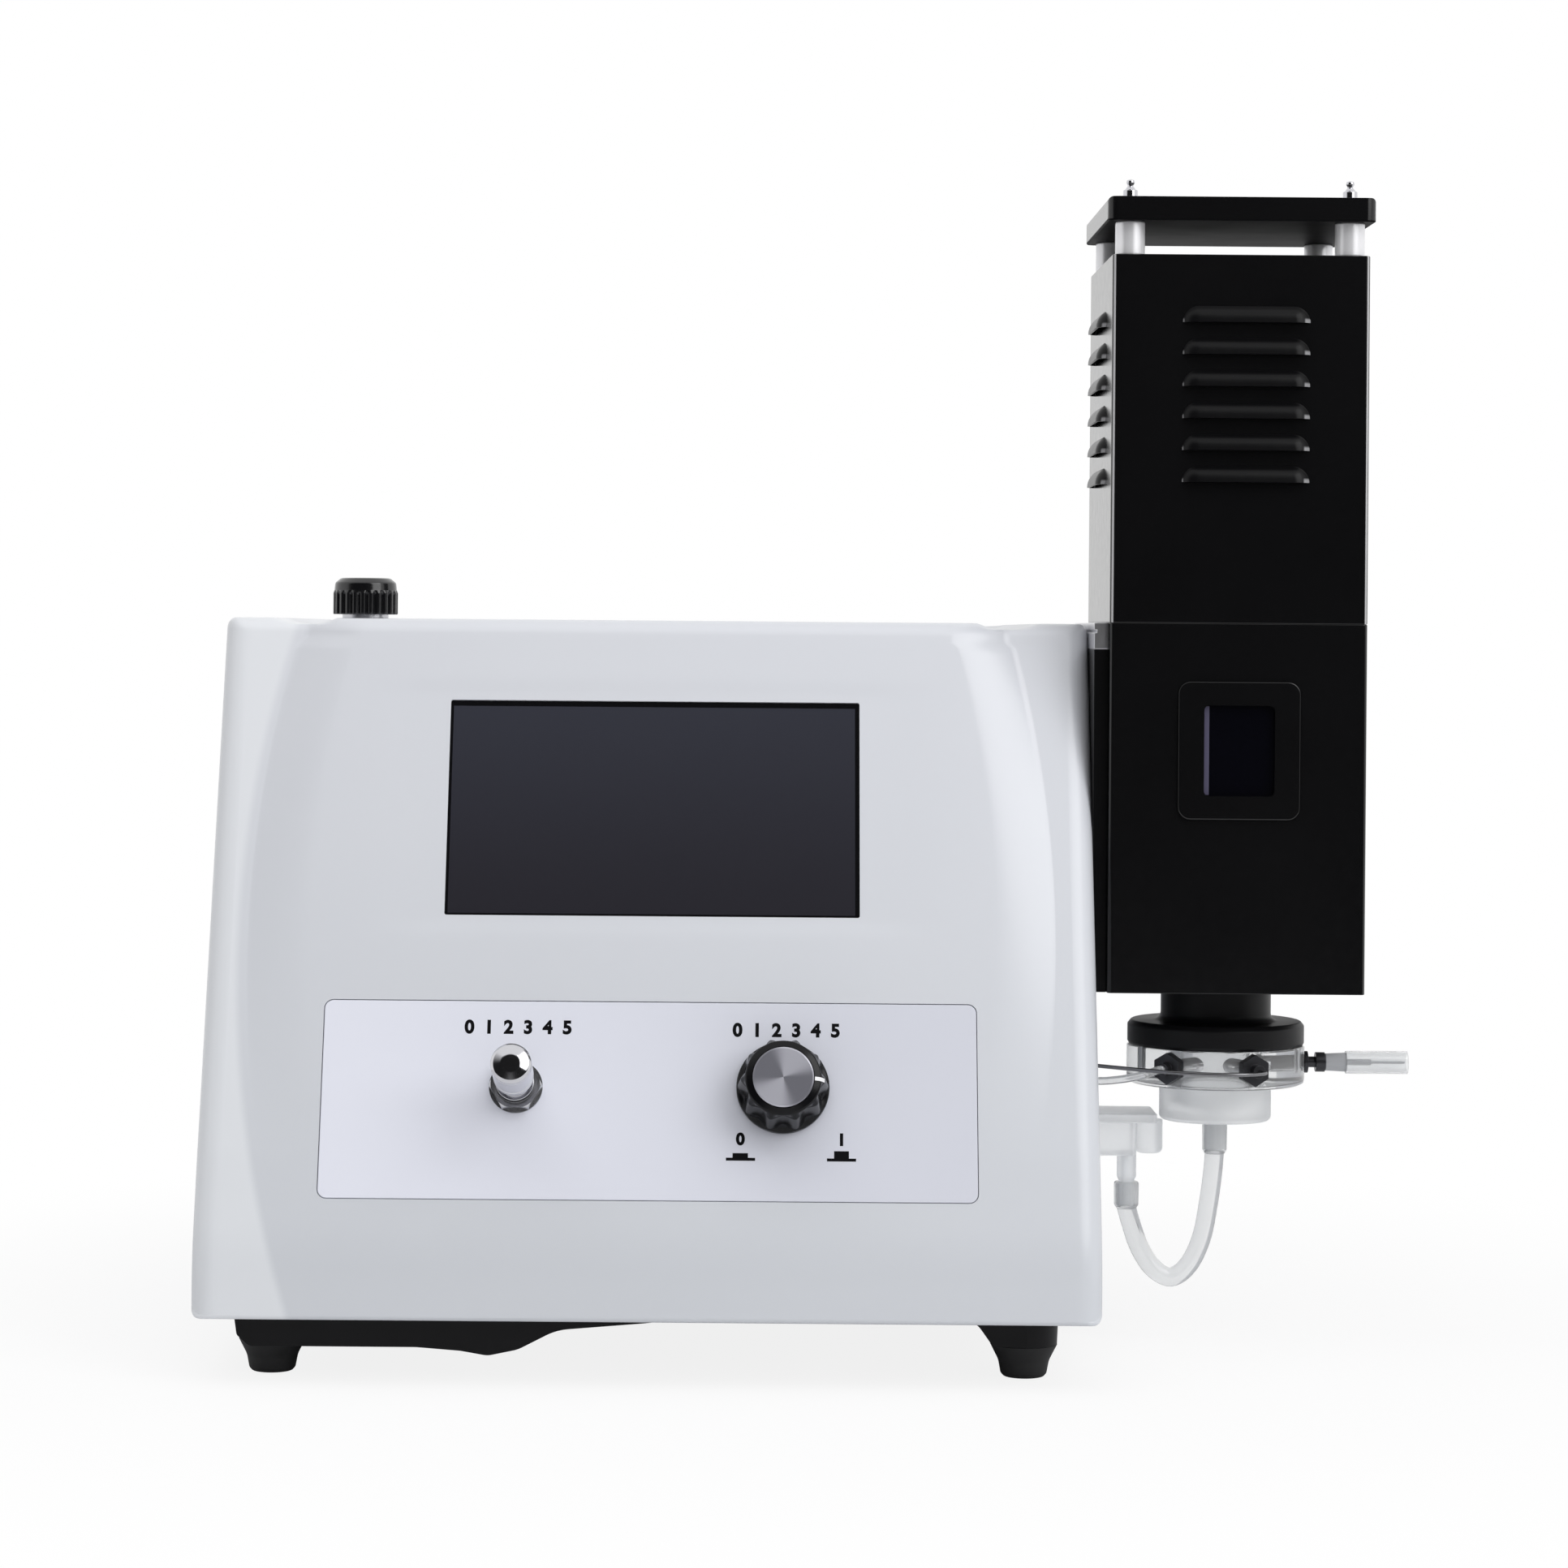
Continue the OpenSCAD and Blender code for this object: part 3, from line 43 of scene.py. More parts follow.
# -------- sizes and places
# The drawing is in millimetres: X from the housing's middle, Y from its front foot, Z from
# the table. ROW turns it into the row frame, in metres.
MM = 0.001
TOP_Z, BASE_Z, HALF_W, DEPTH = 277.5, 24.0, 165.0, 300.0
FACE_Z = 47.0
LEAN = math.radians(19.3)
SIN, COS = math.sin(LEAN), math.cos(LEAN)
FACE_TURN = (LEAN - math.pi / 2, 0, 0)
# the controls, the screen and the control plate, each by its height up the leaning face
CONTROL_X, CONTROL_V = 48.75, 63.0
SCREEN_V, PLATE_V = 170.1, 58.4
# the arc of the crease at each side of the raised face, and the bend of the wings beyond it
CREASE_R, CREASE_X, CREASE_V = 451.4, 302.0, 124.0
WING_V, WING_LEAN = 38.0, math.radians(2.4)
REAR_Z = 145.0  # the middle of the rear panel
# the burner's axis in X and Y, and the height of the fittings beside it
BURNER = (217.0, 112.0)
INLET_Z = 108.8
TOWER_X, TOWER_Y, TOWER_W, TOWER_D = 218.9, 112.0, 96.8, 100.0
WINDOW_X, WINDOW_Y, WINDOW_Z = 219.3, 62.0, 230.3
LOUVRES, LOUVRE_PITCH, LOUVRE_Z = 6, 12.0, 331.0
TUBE_Y, GAS_TUBE_Z, AIR_TUBE_Z = 84.0, 103.8, 109.8
# what reaches furthest: the fine knob in front, the sleeve on the right and the inlets behind
KNOB_R, KNOB_ROUND, KNOB_END = 7.4, 0.8, 39.4
SLEEVE_REACH, BACK_Y = 74.3, 318.0
FRONT_Y = (CONTROL_V - KNOB_R + KNOB_ROUND) * SIN - KNOB_END * COS
SHIFT = Vector((-(BURNER[0] + SLEEVE_REACH - HALF_W) / 2, -(FRONT_Y + BACK_Y) / 2, 0))
ROW = Matrix.Scale(MM, 4) @ Matrix.Translation(SHIFT)


def face_place(x, v):
    """Local X across the leaning face, Y up it and Z straight out of it."""
    y, z = v * SIN, FACE_Z + v * COS
    return ROW @ Matrix(((1, 0, 0, x), (0, SIN, -COS, y), (0, COS, SIN, z), (0, 0, 0, 1)))


def upright(x, y, z=0):
    """Local axes along the drawing's."""
    return ROW @ Matrix.Translation((x, y, z))


def along_x(x, y, z):
    """Local Z to the right."""
    return upright(x, y, z) @ Matrix.Rotation(math.pi / 2, 4, "Y")


def forwards(x, y, z):
    """Local Z to the front, Y upwards."""
    return upright(x, y, z) @ Matrix.Rotation(math.pi / 2, 4, "X")


def backwards(x, z):
    """Local Z out of the rear panel, X across it."""
    return upright(x, DEPTH, z) @ Matrix.Rotation(-math.pi / 2, 4, "X")


def row_point(x, y, z):
    """A point of the drawing in the row frame."""
    return ROW @ Vector((x, y, z))


def linked(name, data):
    """A new object in the scene."""
    obj = bpy.data.objects.new(name, data)
    scene.collection.objects.link(obj)
    return obj


# -------- camera
# as fitted to the photograph: its focal length and middle in pixels, its small roll and its place
PHOTO_W, FOCAL, MIDDLE_X, MIDDLE_Y = 1932, 5130, 916, 780
ROLL, EYE = 0.0082, (33, -1500, 273)
right = Vector((math.cos(ROLL), 0, math.sin(ROLL)))
up = Vector((-math.sin(ROLL), 0, math.cos(ROLL)))
camera = linked("camera", bpy.data.cameras.new("camera"))
camera.data.sensor_width = 36
camera.data.lens = FOCAL / PHOTO_W * 36
camera.data.shift_x = (PHOTO_W / 2 - MIDDLE_X) / PHOTO_W
camera.data.shift_y = (MIDDLE_Y - PHOTO_W / 2) / PHOTO_W
camera.data.clip_end = 20
camera.matrix_world = Matrix.Translation(row_point(*EYE)) @ Matrix(
    (right, up, Vector((0, -1, 0)))).transposed().to_4x4()
scene.camera = camera

# -------- drain hose route
HOSE_R, NIPPLE_X = 3.7, 183
HOSE = [(BURNER[0], 74.0), (216.4, 66), (214.9, 54.2), (212.2, 40.3), (207.2, 29.8), (200.5, 25.1),
        (193.6, 28.5), (188.3, 36.4), (184.8, 46.1), (NIPPLE_X, 52.5)]


def flowing(points):
    """Points along a smooth curve through given ones."""
    p, steps, out = [np.array(q, float) for q in points], 6, []
    for i in range(len(p) - 1):
        a, b, c, d = p[max(i - 1, 0)], p[i], p[i + 1], p[min(i + 2, len(p) - 1)]
        for k in range(steps):
            u = k / steps
            out.append(b + u * (c - a) / 2 + u * u * (2 * a - 5 * b + 4 * c - d) / 2
                       + u ** 3 * (3 * b - a - 3 * c + d) / 2)
    return out + [p[-1]]


# -------- meshes
def finish_mesh(mesh, angle):
    """Smooth shading, with sharp edges beyond that angle."""
    mesh.polygons.foreach_set("use_smooth", [True] * len(mesh.polygons))
    mesh.set_sharp_from_angle(angle=math.radians(angle))
    mesh.update()


def thing(name, verts, faces, place, angle=35):
    """An object from local points, put at its place with its origin at the world's."""
    mesh = bpy.data.meshes.new(name)
    mesh.from_pydata([place @ Vector(v) for v in verts], [], faces)
    bm = bmesh.new()
    bm.from_mesh(mesh)
    bmesh.ops.remove_doubles(bm, verts=bm.verts, dist=1e-6)
    bmesh.ops.recalc_face_normals(bm, faces=bm.faces)
    bm.to_mesh(mesh)
    bm.free()
    finish_mesh(mesh, angle)
    return linked(name, mesh)


def evaluated(obj):
    """A new mesh of the object with its modifiers applied."""
    return bpy.data.meshes.new_from_object(obj.evaluated_get(bpy.context.evaluated_depsgraph_get()))


def baked(obj):
    """Puts the mesh with its modifiers applied in the object, in place of the old one."""
    done, old = evaluated(obj), obj.data
    obj.modifiers.clear()
    obj.data = done
    bpy.data.meshes.remove(old)
    done.name = obj.name


def settled(obj, angle=35):
    """Applies the object's modifiers and sets its sharp edges."""
    baked(obj)
    finish_mesh(obj.data, angle)
    return obj


def carved(obj, cutters, angle=35):
    """Cuts the closed cutters out of the object, one after the other."""
    for cutter in cutters:
        cut = obj.modifiers.new("cut", "BOOLEAN")
        cut.operation, cut.solver, cut.object = "DIFFERENCE", "EXACT", cutter
    settled(obj, angle)
    for cutter in cutters:
        bpy.data.objects.remove(cutter)
    return obj


def softened(obj, width):
    """Small rounded edges, as on a real pressing or moulding."""
    edge = obj.modifiers.new("edge", "BEVEL")
    edge.width, edge.segments, edge.limit_method = width * MM, 2, "ANGLE"
    edge.angle_limit = math.radians(40)
    edge.use_clamp_overlap = True
    return settled(obj)


def joined(name, objs):
    """One object out of several."""
    bm = bmesh.new()
    for o in objs:
        bm.from_mesh(o.data)
        bpy.data.objects.remove(o)
    mesh = bpy.data.meshes.new(name)
    bm.to_mesh(mesh)
    bm.free()
    finish_mesh(mesh, 35)
    return linked(name, mesh)


def wearing(obj, material, body="instrument", node=None):
    """Gives a finished piece true flats between its soft edges, its material and its body, and hides the CAD
    node that it stands for. A piece called NODE.piece stands for that CAD node, and others for the node
    given."""
    even = obj.modifiers.new("even", "WEIGHTED_NORMAL")
    even.keep_sharp, even.weight = True, 60
    baked(obj)
    obj.data.materials.clear()
    obj.data.materials.append(material)
    if obj.name.endswith(".piece"):
        node = obj.name[:-len(".piece")]
    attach(obj, body)
    if node:
        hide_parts(node)
    return obj


def refined(node, material, edge=0.3, body="instrument"):
    """A clean copy of a CAD node with merged points, flat faces made whole and soft edges."""
    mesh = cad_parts[node].data.copy()
    bm = bmesh.new()
    bm.from_mesh(mesh)
    bmesh.ops.remove_doubles(bm, verts=bm.verts, dist=2e-6)
    bmesh.ops.dissolve_limit(bm, angle_limit=math.radians(0.6), verts=bm.verts, edges=bm.edges)
    bm.to_mesh(mesh)
    bm.free()
    obj = linked(node + ".piece", mesh)
    if edge:
        softened(obj, edge)
    else:
        finish_mesh(mesh, 35)
    return wearing(obj, material, body)


def unit(v):
    """The same direction, one long."""
    return v / np.linalg.norm(v)


def corner_arc(a, p, b, r, steps):
    """Points that round the corner p between a and b, or none where the line runs straight on."""
    a, p, b = (np.array(q, float) for q in (a, p, b))
    u, v = unit(a - p), unit(b - p)
    half = math.acos(max(-1, min(1, float(u @ v)))) / 2
    if r <= 0 or abs(half - math.pi / 2) < 1e-4:
        return []
    reach = r / math.tan(half)
    centre = p + unit(u + v) * (r / math.sin(half))
    start, end = p + u * reach - centre, p + v * reach - centre
    turn = math.pi - 2 * half
    return [centre + (start * math.sin((1 - t) * turn) + end * math.sin(t * turn)) / math.sin(turn)
            for t in (k / steps for k in range(steps + 1))]


def rounded_line(points, radii, steps=6):
    """An open line with each inner corner rounded by its own radius."""
    out = [tuple(points[0])]
    for i in range(1, len(points) - 1):
        out += [tuple(q) for q in corner_arc(*points[i - 1:i + 2], radii[i], steps)] or [tuple(points[i])]
    return out + [tuple(points[-1])]


def stepped(line, longest, steps, least_r=0):
    """Cuts the long stretches of a profile in steps, beyond that radius, and leaves its end out."""
    out = []
    for a, b in zip(line, line[1:]):
        short = math.dist(a, b) < longest or a[0] < least_r
        out += [a] if short else [tuple(np.array(a) + (np.array(b) - a) * k / steps) for k in range(steps)]
    return out


def ring_faces(n, rings, base=0):
    """Quads between rings of n points each, and the faces at both ends."""
    rows = [[base + i * n + k for k in range(n)] for i in range(rings)]
    quads = [[low[k], low[(k + 1) % n], high[(k + 1) % n], high[k]] for low, high in zip(rows, rows[1:])
             for k in range(n)]
    return quads + [rows[0][::-1], rows[-1]]


def turned(name, profile, place, n=72, shape=None):
    """A closed outline of (radius, height) turned about local Z. shape bends the radius."""
    verts, rows, faces = [], [], []
    for r, z in profile:
        count = n if r > 1e-6 else 1
        rows.append([len(verts) + k for k in range(count)])
        for a in (2 * math.pi * k / n for k in range(count)):
            q = shape(a, r, z) if shape else r
            verts.append((q * math.cos(a), q * math.sin(a), z))
    closed = rows + ([rows[0]] if profile[0][0] > 1e-6 and profile[-1][0] > 1e-6 else [])
    for low, high in zip(closed, closed[1:]):
        for k in range(n):
            j = (k + 1) % n
            quad = [low[k % len(low)], low[j % len(low)], high[j % len(high)], high[k % len(high)]]
            quad = list(dict.fromkeys(quad))
            if len(quad) > 2:
                faces.append(quad)
    return thing(name, verts, faces, place)


def rect_ring(w, d, r, steps):
    """Points round a rectangle with rounded corners."""
    out = []
    r = max(r, 0.01)
    for cx, cy, start in ((1, 1, 0), (-1, 1, 90), (-1, -1, 180), (1, -1, 270)):
        for k in range(steps + 1):
            a = math.radians(start + 90 * k / steps)
            out.append((cx * (w / 2 - r) + r * math.cos(a), cy * (d / 2 - r) + r * math.sin(a)))
    return out


def block(name, w, d, layers, corner, place, steps=5):
    """A rounded rectangular block; each layer is (inset, height)."""
    rings = [[(x, y, z) for x, y in rect_ring(w - 2 * i, d - 2 * i, corner - i, steps)] for i, z in layers]
    return thing(name, sum(rings, []), ring_faces(len(rings[0]), len(rings)), place)


def layers(h, soft, steps, z=0):
    """Insets and heights of a block with softly rounded top and bottom edges."""
    quarter = [math.pi / 2 * k / steps for k in range(steps + 1)]
    low = [(soft - soft * math.sin(a), z + soft - soft * math.cos(a)) for a in quarter]
    return low + [(soft * (1 - math.cos(a)), z + h - soft * (1 - math.sin(a))) for a in quarter]


def prism(name, outline, x0, x1, place):
    """An outline in (Y, Z) pushed from x0 to x1."""
    verts = [(x, y, z) for x in (x0, x1) for y, z in outline]
    return thing(name, verts, ring_faces(len(outline), 2), place)


def swept(name, path, r, n, side=(0, 0, 1)):
    """A round bar along a path that never runs along side."""
    p = [np.array(q, float) for q in path]
    verts = []
    for i, c in enumerate(p):
        t = unit(p[min(i + 1, len(p) - 1)] - p[max(i - 1, 0)])
        a = unit(np.cross(t, side))
        b = np.cross(a, t)
        for k in range(n):
            w = 2 * math.pi * k / n
            verts.append(tuple(c + r * (math.cos(w) * a + math.sin(w) * b)))
    return thing(name, verts, ring_faces(n, len(p)), ROW, 60)


# -------- materials
class Value:
    """A shader socket that can be added, subtracted and multiplied."""

    def __init__(self, tree, socket):
        self.tree, self.socket = tree, socket

    def __add__(self, other):
        return self.tree.maths("ADD", self, other)

    def __sub__(self, other):
        return self.tree.maths("SUBTRACT", self, other)

    def __rsub__(self, other):
        return self.tree.maths("SUBTRACT", other, self)

    def __mul__(self, other):
        return self.tree.maths("MULTIPLY", self, other)

    __radd__ = __add__


class Tree:
    """Wires the nodes of a material, of the world or of a node group."""

    def __init__(self, tree):
        self.nodes, self.links = tree.nodes, tree.links

    def node(self, kind, settings=None, **inputs):
        """A node with its settings, its numbers and its links; i0 is its first input."""
        n = self.nodes.new(kind)
        for key, value in (settings or {}).items():
            setattr(n, key, value)
        for key, value in inputs.items():
            self.join(value, n.inputs[int(key[1:]) if key[1:].isdigit() else key.replace("_", " ")])
        return n

    def join(self, value, socket):
        """Links a value to an input, or sets the input to it."""
        if isinstance(value, Value):
            value = value.socket
        if hasattr(value, "is_output"):
            self.links.new(value, socket)
        else:
            socket.default_value = value

    def maths(self, operation, a, b=0.0):
        """The result of a sum or function of one or two values."""
        return Value(self, self.node("ShaderNodeMath", {"operation": operation}, i0=a, i1=b).outputs[0])

    def parts(self, vector):
        """The X, Y and Z of a vector."""
        return [Value(self, s) for s in self.node("ShaderNodeSeparateXYZ", Vector=vector).outputs]

    def band(self, value, low, high):
        """0 below low, 1 above high and smooth between."""
        n = self.node("ShaderNodeMapRange", {"interpolation_type": "SMOOTHSTEP"}, Value=value, From_Min=low,
                      From_Max=high)
        return Value(self, n.outputs[0])


class Finish(Tree):
    """One node material with a Principled shader."""

    def __init__(self, name, colour, rough, metal=0.0, **constants):
        self.material = bpy.data.materials.new(name)
        self.material.use_nodes = True
        super().__init__(self.material.node_tree)
        self.shader = self.nodes["Principled BSDF"]
        self.shader.inputs["Base Color"].default_value = (*colour, 1)
        self.shader.inputs["Roughness"].default_value = rough
        self.shader.inputs["Metallic"].default_value = metal
        for key, value in constants.items():
            self.shader.inputs[key.replace("_", " ")].default_value = value
        self.colour = colour

    def place(self, scale=(1, 1, 1), centre=(0, 0, 0), turn=(0, 0, 0)):
        """The place on the object in metres, from that centre."""
        coords = self.node("ShaderNodeTexCoord").outputs["Object"]
        moved = self.node("ShaderNodeVectorMath", {"operation": "SUBTRACT"}, i0=coords, i1=tuple(centre))
        return self.node("ShaderNodeMapping", Vector=moved.outputs[0], Scale=scale, Rotation=turn).outputs[0]

    def on_face(self, x, v, out=0):
        """Metres across, up and out of the leaning face, from a point of the drawing."""
        return self.parts(self.place(centre=face_place(x, v) @ Vector((0, 0, out)), turn=FACE_TURN))

    def noise(self, size, detail=3.0, rough=0.5, stretch=(1, 1, 1)):
        """Noise of that size in metres, from 0 to 1."""
        n = self.node("ShaderNodeTexNoise", Vector=self.place(stretch), Scale=1 / size, Detail=detail,
                      Roughness=rough)
        return Value(self, n.outputs["Fac"])

    def mix(self, factor, a, b):
        """Colour a where factor is 0 and b where it is 1."""
        n = self.node("ShaderNodeMix", {"data_type": "RGBA"})
        self.join(factor, n.inputs[0])
        for value, socket in ((a, n.inputs[6]), (b, n.inputs[7])):
            self.join((*value, 1) if isinstance(value, tuple) else value, socket)
        return n.outputs[2]

    def paint(self, value):
        self.join(value, self.shader.inputs["Base Color"])

    def gloss(self, value):
        self.join(value, self.shader.inputs["Roughness"])

    def bump(self, height, depth, strength):
        """Relief of that depth in metres."""
        n = self.node("ShaderNodeBump", Height=height, Distance=depth, Strength=strength)
        self.links.new(n.outputs[0], self.shader.inputs["Normal"])

    def variegate(self, spread, size):
        """Slight light and dark clouds over the colour."""
        dark = tuple(c * (1 - spread) for c in self.colour)
        light = tuple(min(1, c * (1 + spread)) for c in self.colour)
        self.paint(self.mix(self.noise(size), dark, light))


def moulded_white():
    """Glossy white, with painted shade that darkens it low down and a painted highlight that makes its left
    wing paler, as the photograph shows it.
    """
    f = Finish("moulded_white", (0.72, 0.725, 0.755), 0.3, Coat_Weight=0.2, Coat_Roughness=0.2)
    clouds = f.noise(0.16, 2.0)
    x, y, z = f.on_face(0, CREASE_V)
    right = x - CREASE_X * MM
    # painted highlight: the wing beyond the left crease is painted paler
    wing = f.band(f.maths("SQRT", right * right + y * y), CREASE_R * MM + 0.002, CREASE_R * MM + 0.006)
    face = f.mix(clouds, (0.70, 0.718, 0.768), (0.73, 0.746, 0.79))
    # painted shade: a darker copy of the white for the lower face
    foot = f.mix(clouds, (0.625, 0.65, 0.69), (0.65, 0.67, 0.71))
    painted_low_shade = f.mix(f.band(y, -0.19, 0.12), foot, face)
    f.paint(f.mix(wing * f.band(z, -0.06, -0.025) * 0.6, painted_low_shade, (0.86, 0.88, 0.91)))
    f.gloss(0.28 + f.noise(0.03, 3.0) * 0.06)
    f.bump(f.noise(0.0012, 2.0), 0.00002, 0.35)
    return f.material


def plain(name, colour, rough, metal=0.0, spread=0.06, size=0.02, depth=0.00002, **constants):
    """An even finish with slight clouds and a fine grain."""
    f = Finish(name, colour, rough, metal, **constants)
    f.variegate(spread, size)
    f.gloss(rough * 0.9 + f.noise(size * 0.6, 4.0) * (rough * 0.25))
    if depth:
        f.bump(f.noise(0.0006, 2.0), depth, 0.5)
    return f.material


def powder_black(name="powder_black", painted_fold_highlights=False):
    """Glossy black powder coat; on the upper cover a painted highlight lightens the folds at its front
    corners.
    """
    f = Finish(name, (0.0035, 0.0035, 0.004), 0.16, Specular_IOR_Level=0.5)
    colour = f.mix(f.noise(0.05), (0.003, 0.003, 0.0034), (0.0055, 0.0055, 0.006))
    if painted_fold_highlights:
        # painted highlight: pale lines down the cover's front corner folds
        x, y, _ = f.parts(f.place(centre=row_point(TOWER_X, TOWER_Y - TOWER_D / 2, 0)))
        from_corner = TOWER_W * 0.0005 - f.maths("ABSOLUTE", x)
        painted_fold_mask = (f.band(from_corner, 0.0004, 0.0006) * (1 - f.band(from_corner, 0.0011, 0.0013))
                * (1 - f.band(y, 0.001, 0.0012)))
        colour = f.mix(painted_fold_mask, colour, (0.5, 0.5, 0.51))
    f.paint(colour)
    f.gloss(0.13 + f.noise(0.004, 3.0) * 0.07)
    f.bump(f.noise(0.0009, 3.0), 0.000012, 0.3)
    return f.material


def cap_black():
    """Black paint, glossy on the plate's upper side and dull underneath."""
    plate_top = 0.4294
    f = Finish("cap_black", (0.004, 0.004, 0.0045), 0.5, Specular_IOR_Level=0.02, Coat_Roughness=0.16)
    f.variegate(0.2, 0.03)
    _, _, z = f.parts(f.place())
    f.join(f.band(z, plate_top, plate_top + 0.0005) * 0.9, f.shader.inputs["Coat Weight"])
    f.gloss(0.45 + f.noise(0.02) * 0.1)
    return f.material


def hood_black():
    """Black paint of the pressed hoods, with painted highlights at their lower corners."""
    f = Finish("hood_black", (0.004, 0.004, 0.0045), 0.3, Specular_IOR_Level=0.16)
    x, y, z = f.parts(f.place(centre=row_point(TOWER_X + 1, TOWER_Y, 0)))
    up_hood = f.maths("FRACT", (z - LOUVRE_Z * MM) * (1 / (LOUVRE_PITCH * MM)))
    low = 1 - f.band(up_hood, 0.07, 0.16)
    painted_highlight_ends = 0
    for across in (x, y):
        reach = f.maths("ABSOLUTE", across)
        painted_highlight_ends = painted_highlight_ends + f.band(reach, 0.0222, 0.023) * (1 - f.band(reach, 0.027, 0.0275))
    dark = f.mix(f.noise(0.03), (0.003, 0.003, 0.0035), (0.0055, 0.0055, 0.006))
    # painted highlights: pale marks at the lower corners of each hood
    f.paint(f.mix(low * painted_highlight_ends, dark, (0.3, 0.3, 0.31)))
    f.gloss(0.26 + f.noise(0.004, 3.0) * 0.08)
    return f.material


def brushed(name, colour, rough, stretch):
    """Metal with fine lines along its stretched axis."""
    f = Finish(name, colour, rough, 1.0)
    lines = f.noise(0.0006, 4.0, 0.6, stretch)
    f.paint(f.mix(lines, tuple(c * 0.86 for c in colour), colour))
    f.gloss(rough * 0.8 + lines * (rough * 0.4))
    f.bump(lines, 0.000006, 0.4)
    return f.material


def spun_disc():
    """A faced metal disc: fine rings, with the bright fans that they throw painted into its colour as painted
    highlights.
    """
    f = Finish("spun_disc", (0.6, 0.6, 0.61), 0.3, 0.3)
    x, y, _ = f.on_face(CONTROL_X, CONTROL_V, 19.6)
    radius = f.maths("SQRT", x * x + y * y)
    turn = f.maths("ARCTAN2", y, x)
    # painted highlights: bright and dark fans by angle round the disc
    painted_sheen_fans = f.maths("COSINE", (turn - 1.05) * 2)
    fine = f.maths("COSINE", (turn - 0.45) * 6) * 0.12
    painted_sheen = f.band(painted_sheen_fans + fine, -0.75, 0.95)
    f.paint(f.mix(painted_sheen, (0.2, 0.2, 0.23), (0.52, 0.52, 0.58)))
    ring_pitch = 0.00022
    rings = f.maths("SINE", radius * (2 * math.pi / ring_pitch))
    f.gloss(0.24 + rings * 0.03)
    f.bump(rings, 0.000004, 0.25)
    return f.material


def screen():
    """Dark unlit glass with a painted reflection, a little paler towards the top and darker towards the lower
    right, and a black printed edge.
    """
    half_w, half_h = 0.0755, 0.0403
    f = Finish("dark_screen", (0.03, 0.028, 0.036), 0.16, Coat_Weight=0.4, Coat_Roughness=0.04)
    x, y, _ = f.on_face(0, SCREEN_V)
    # painted reflection: paler towards the top, darker towards the lower right
    painted_reflection_rise = f.band(y, -0.05, 0.055)
    painted_reflection_fade = f.band(x * 0.4 - y, -0.07, 0.09)
    inside = f.mix(painted_reflection_rise, (0.025, 0.024, 0.031), (0.039, 0.041, 0.055))
    inside = f.mix(painted_reflection_fade * 0.25, inside, (0.022, 0.022, 0.028))
    edge = f.maths("MAXIMUM", f.band(f.maths("ABSOLUTE", x + 0.0003), half_w, half_w + 0.0002),
                   f.band(f.maths("ABSOLUTE", y + 0.0006), half_h, half_h + 0.0002))
    f.paint(f.mix(edge, inside, (0.004, 0.004, 0.005)))
    f.gloss(0.13 + f.noise(0.02, 3.0) * 0.05)
    return f.material


def plate_film():
    """The control plate's pale film, with painted shade that darkens it to the right."""
    f = Finish("plate_film", (0.75, 0.76, 0.85), 0.36)
    x, _, _ = f.on_face(0, 0)
    clouds = f.noise(0.12, 2.0)
    left, right = (f.mix(clouds, tuple(c * 0.98 for c in tone), tone)
                   for tone in ((0.83, 0.845, 0.935), (0.675, 0.69, 0.765)))
    # painted shade: paler on the left and darker to the right
    f.paint(f.mix(f.band(x, -0.13, 0.13), left, right))
    f.gloss(0.33 + f.noise(0.01, 3.0) * 0.06)
    f.bump(f.noise(0.0005, 2.0), 0.000012, 0.4)
    return f.material


def nebuliser_finish():
    """Dark threaded metal with a pale moulded end."""
    end_x = 0.1962
    f = Finish("nebuliser_metal", (0.05, 0.05, 0.055), 0.3, 0.8)
    x, _, _ = f.parts(f.place())
    end = f.band(x, end_x, end_x + 0.0004)
    f.paint(f.mix(end, f.colour, (0.42, 0.43, 0.45)))
    f.join(0.8 - end * 0.8, f.shader.inputs["Metallic"])
    f.gloss(0.28 + f.noise(0.004) * 0.08)
    return f.material


def clear(name, tint, rough, solid, ior=1.45, **constants):
    """Clear or milky plastic: part glass, part pale body."""
    f = Finish(name, tint, rough, Transmission_Weight=1 - solid, IOR=ior, **constants)
    f.paint(f.mix(f.noise(0.012, 3.0), tuple(c * 0.94 for c in tint), tint))
    f.gloss(rough + f.noise(0.004, 3.0) * 0.05)
    f.bump(f.noise(0.003, 2.0), 0.00003, 0.25)
    return f.material


WHITE = moulded_white()
PLATE = plate_film()
SCREEN = screen()
BLACK_SHEET = powder_black()
COVER_BLACK = powder_black("cover_black", painted_fold_highlights=True)
KNOB_BLACK = plain("knob_black", (0.004, 0.004, 0.005), 0.2, spread=0.2, Specular_IOR_Level=0.22)
BLACK_GLOSS = plain("black_gloss", (0.006, 0.006, 0.007), 0.2, spread=0.2, Coat_Weight=0.3)
BLACK_SATIN = plain("black_satin", (0.006, 0.006, 0.007), 0.4, spread=0.15, Specular_IOR_Level=0.2)
RUBBER = plain("foot_rubber", (0.014, 0.014, 0.015), 0.6, spread=0.2, depth=0.00005)
CHROME = plain("polished_chrome", (0.62, 0.62, 0.65), 0.1, 1.0, spread=0.02, depth=0.0)
STEEL = brushed("bright_steel", (0.62, 0.62, 0.64), 0.24, (1, 1, 0.12))
PANEL = brushed("panel_sheet", (0.5, 0.5, 0.51), 0.36, (0.06, 1, 1))
ALUMINIUM = brushed("bright_aluminium", (0.78, 0.78, 0.8), 0.34, (1, 1, 0.1))
SATIN = plain("satin_aluminium", (0.92, 0.92, 0.94), 0.3, 0.4, spread=0.03, depth=0.0)
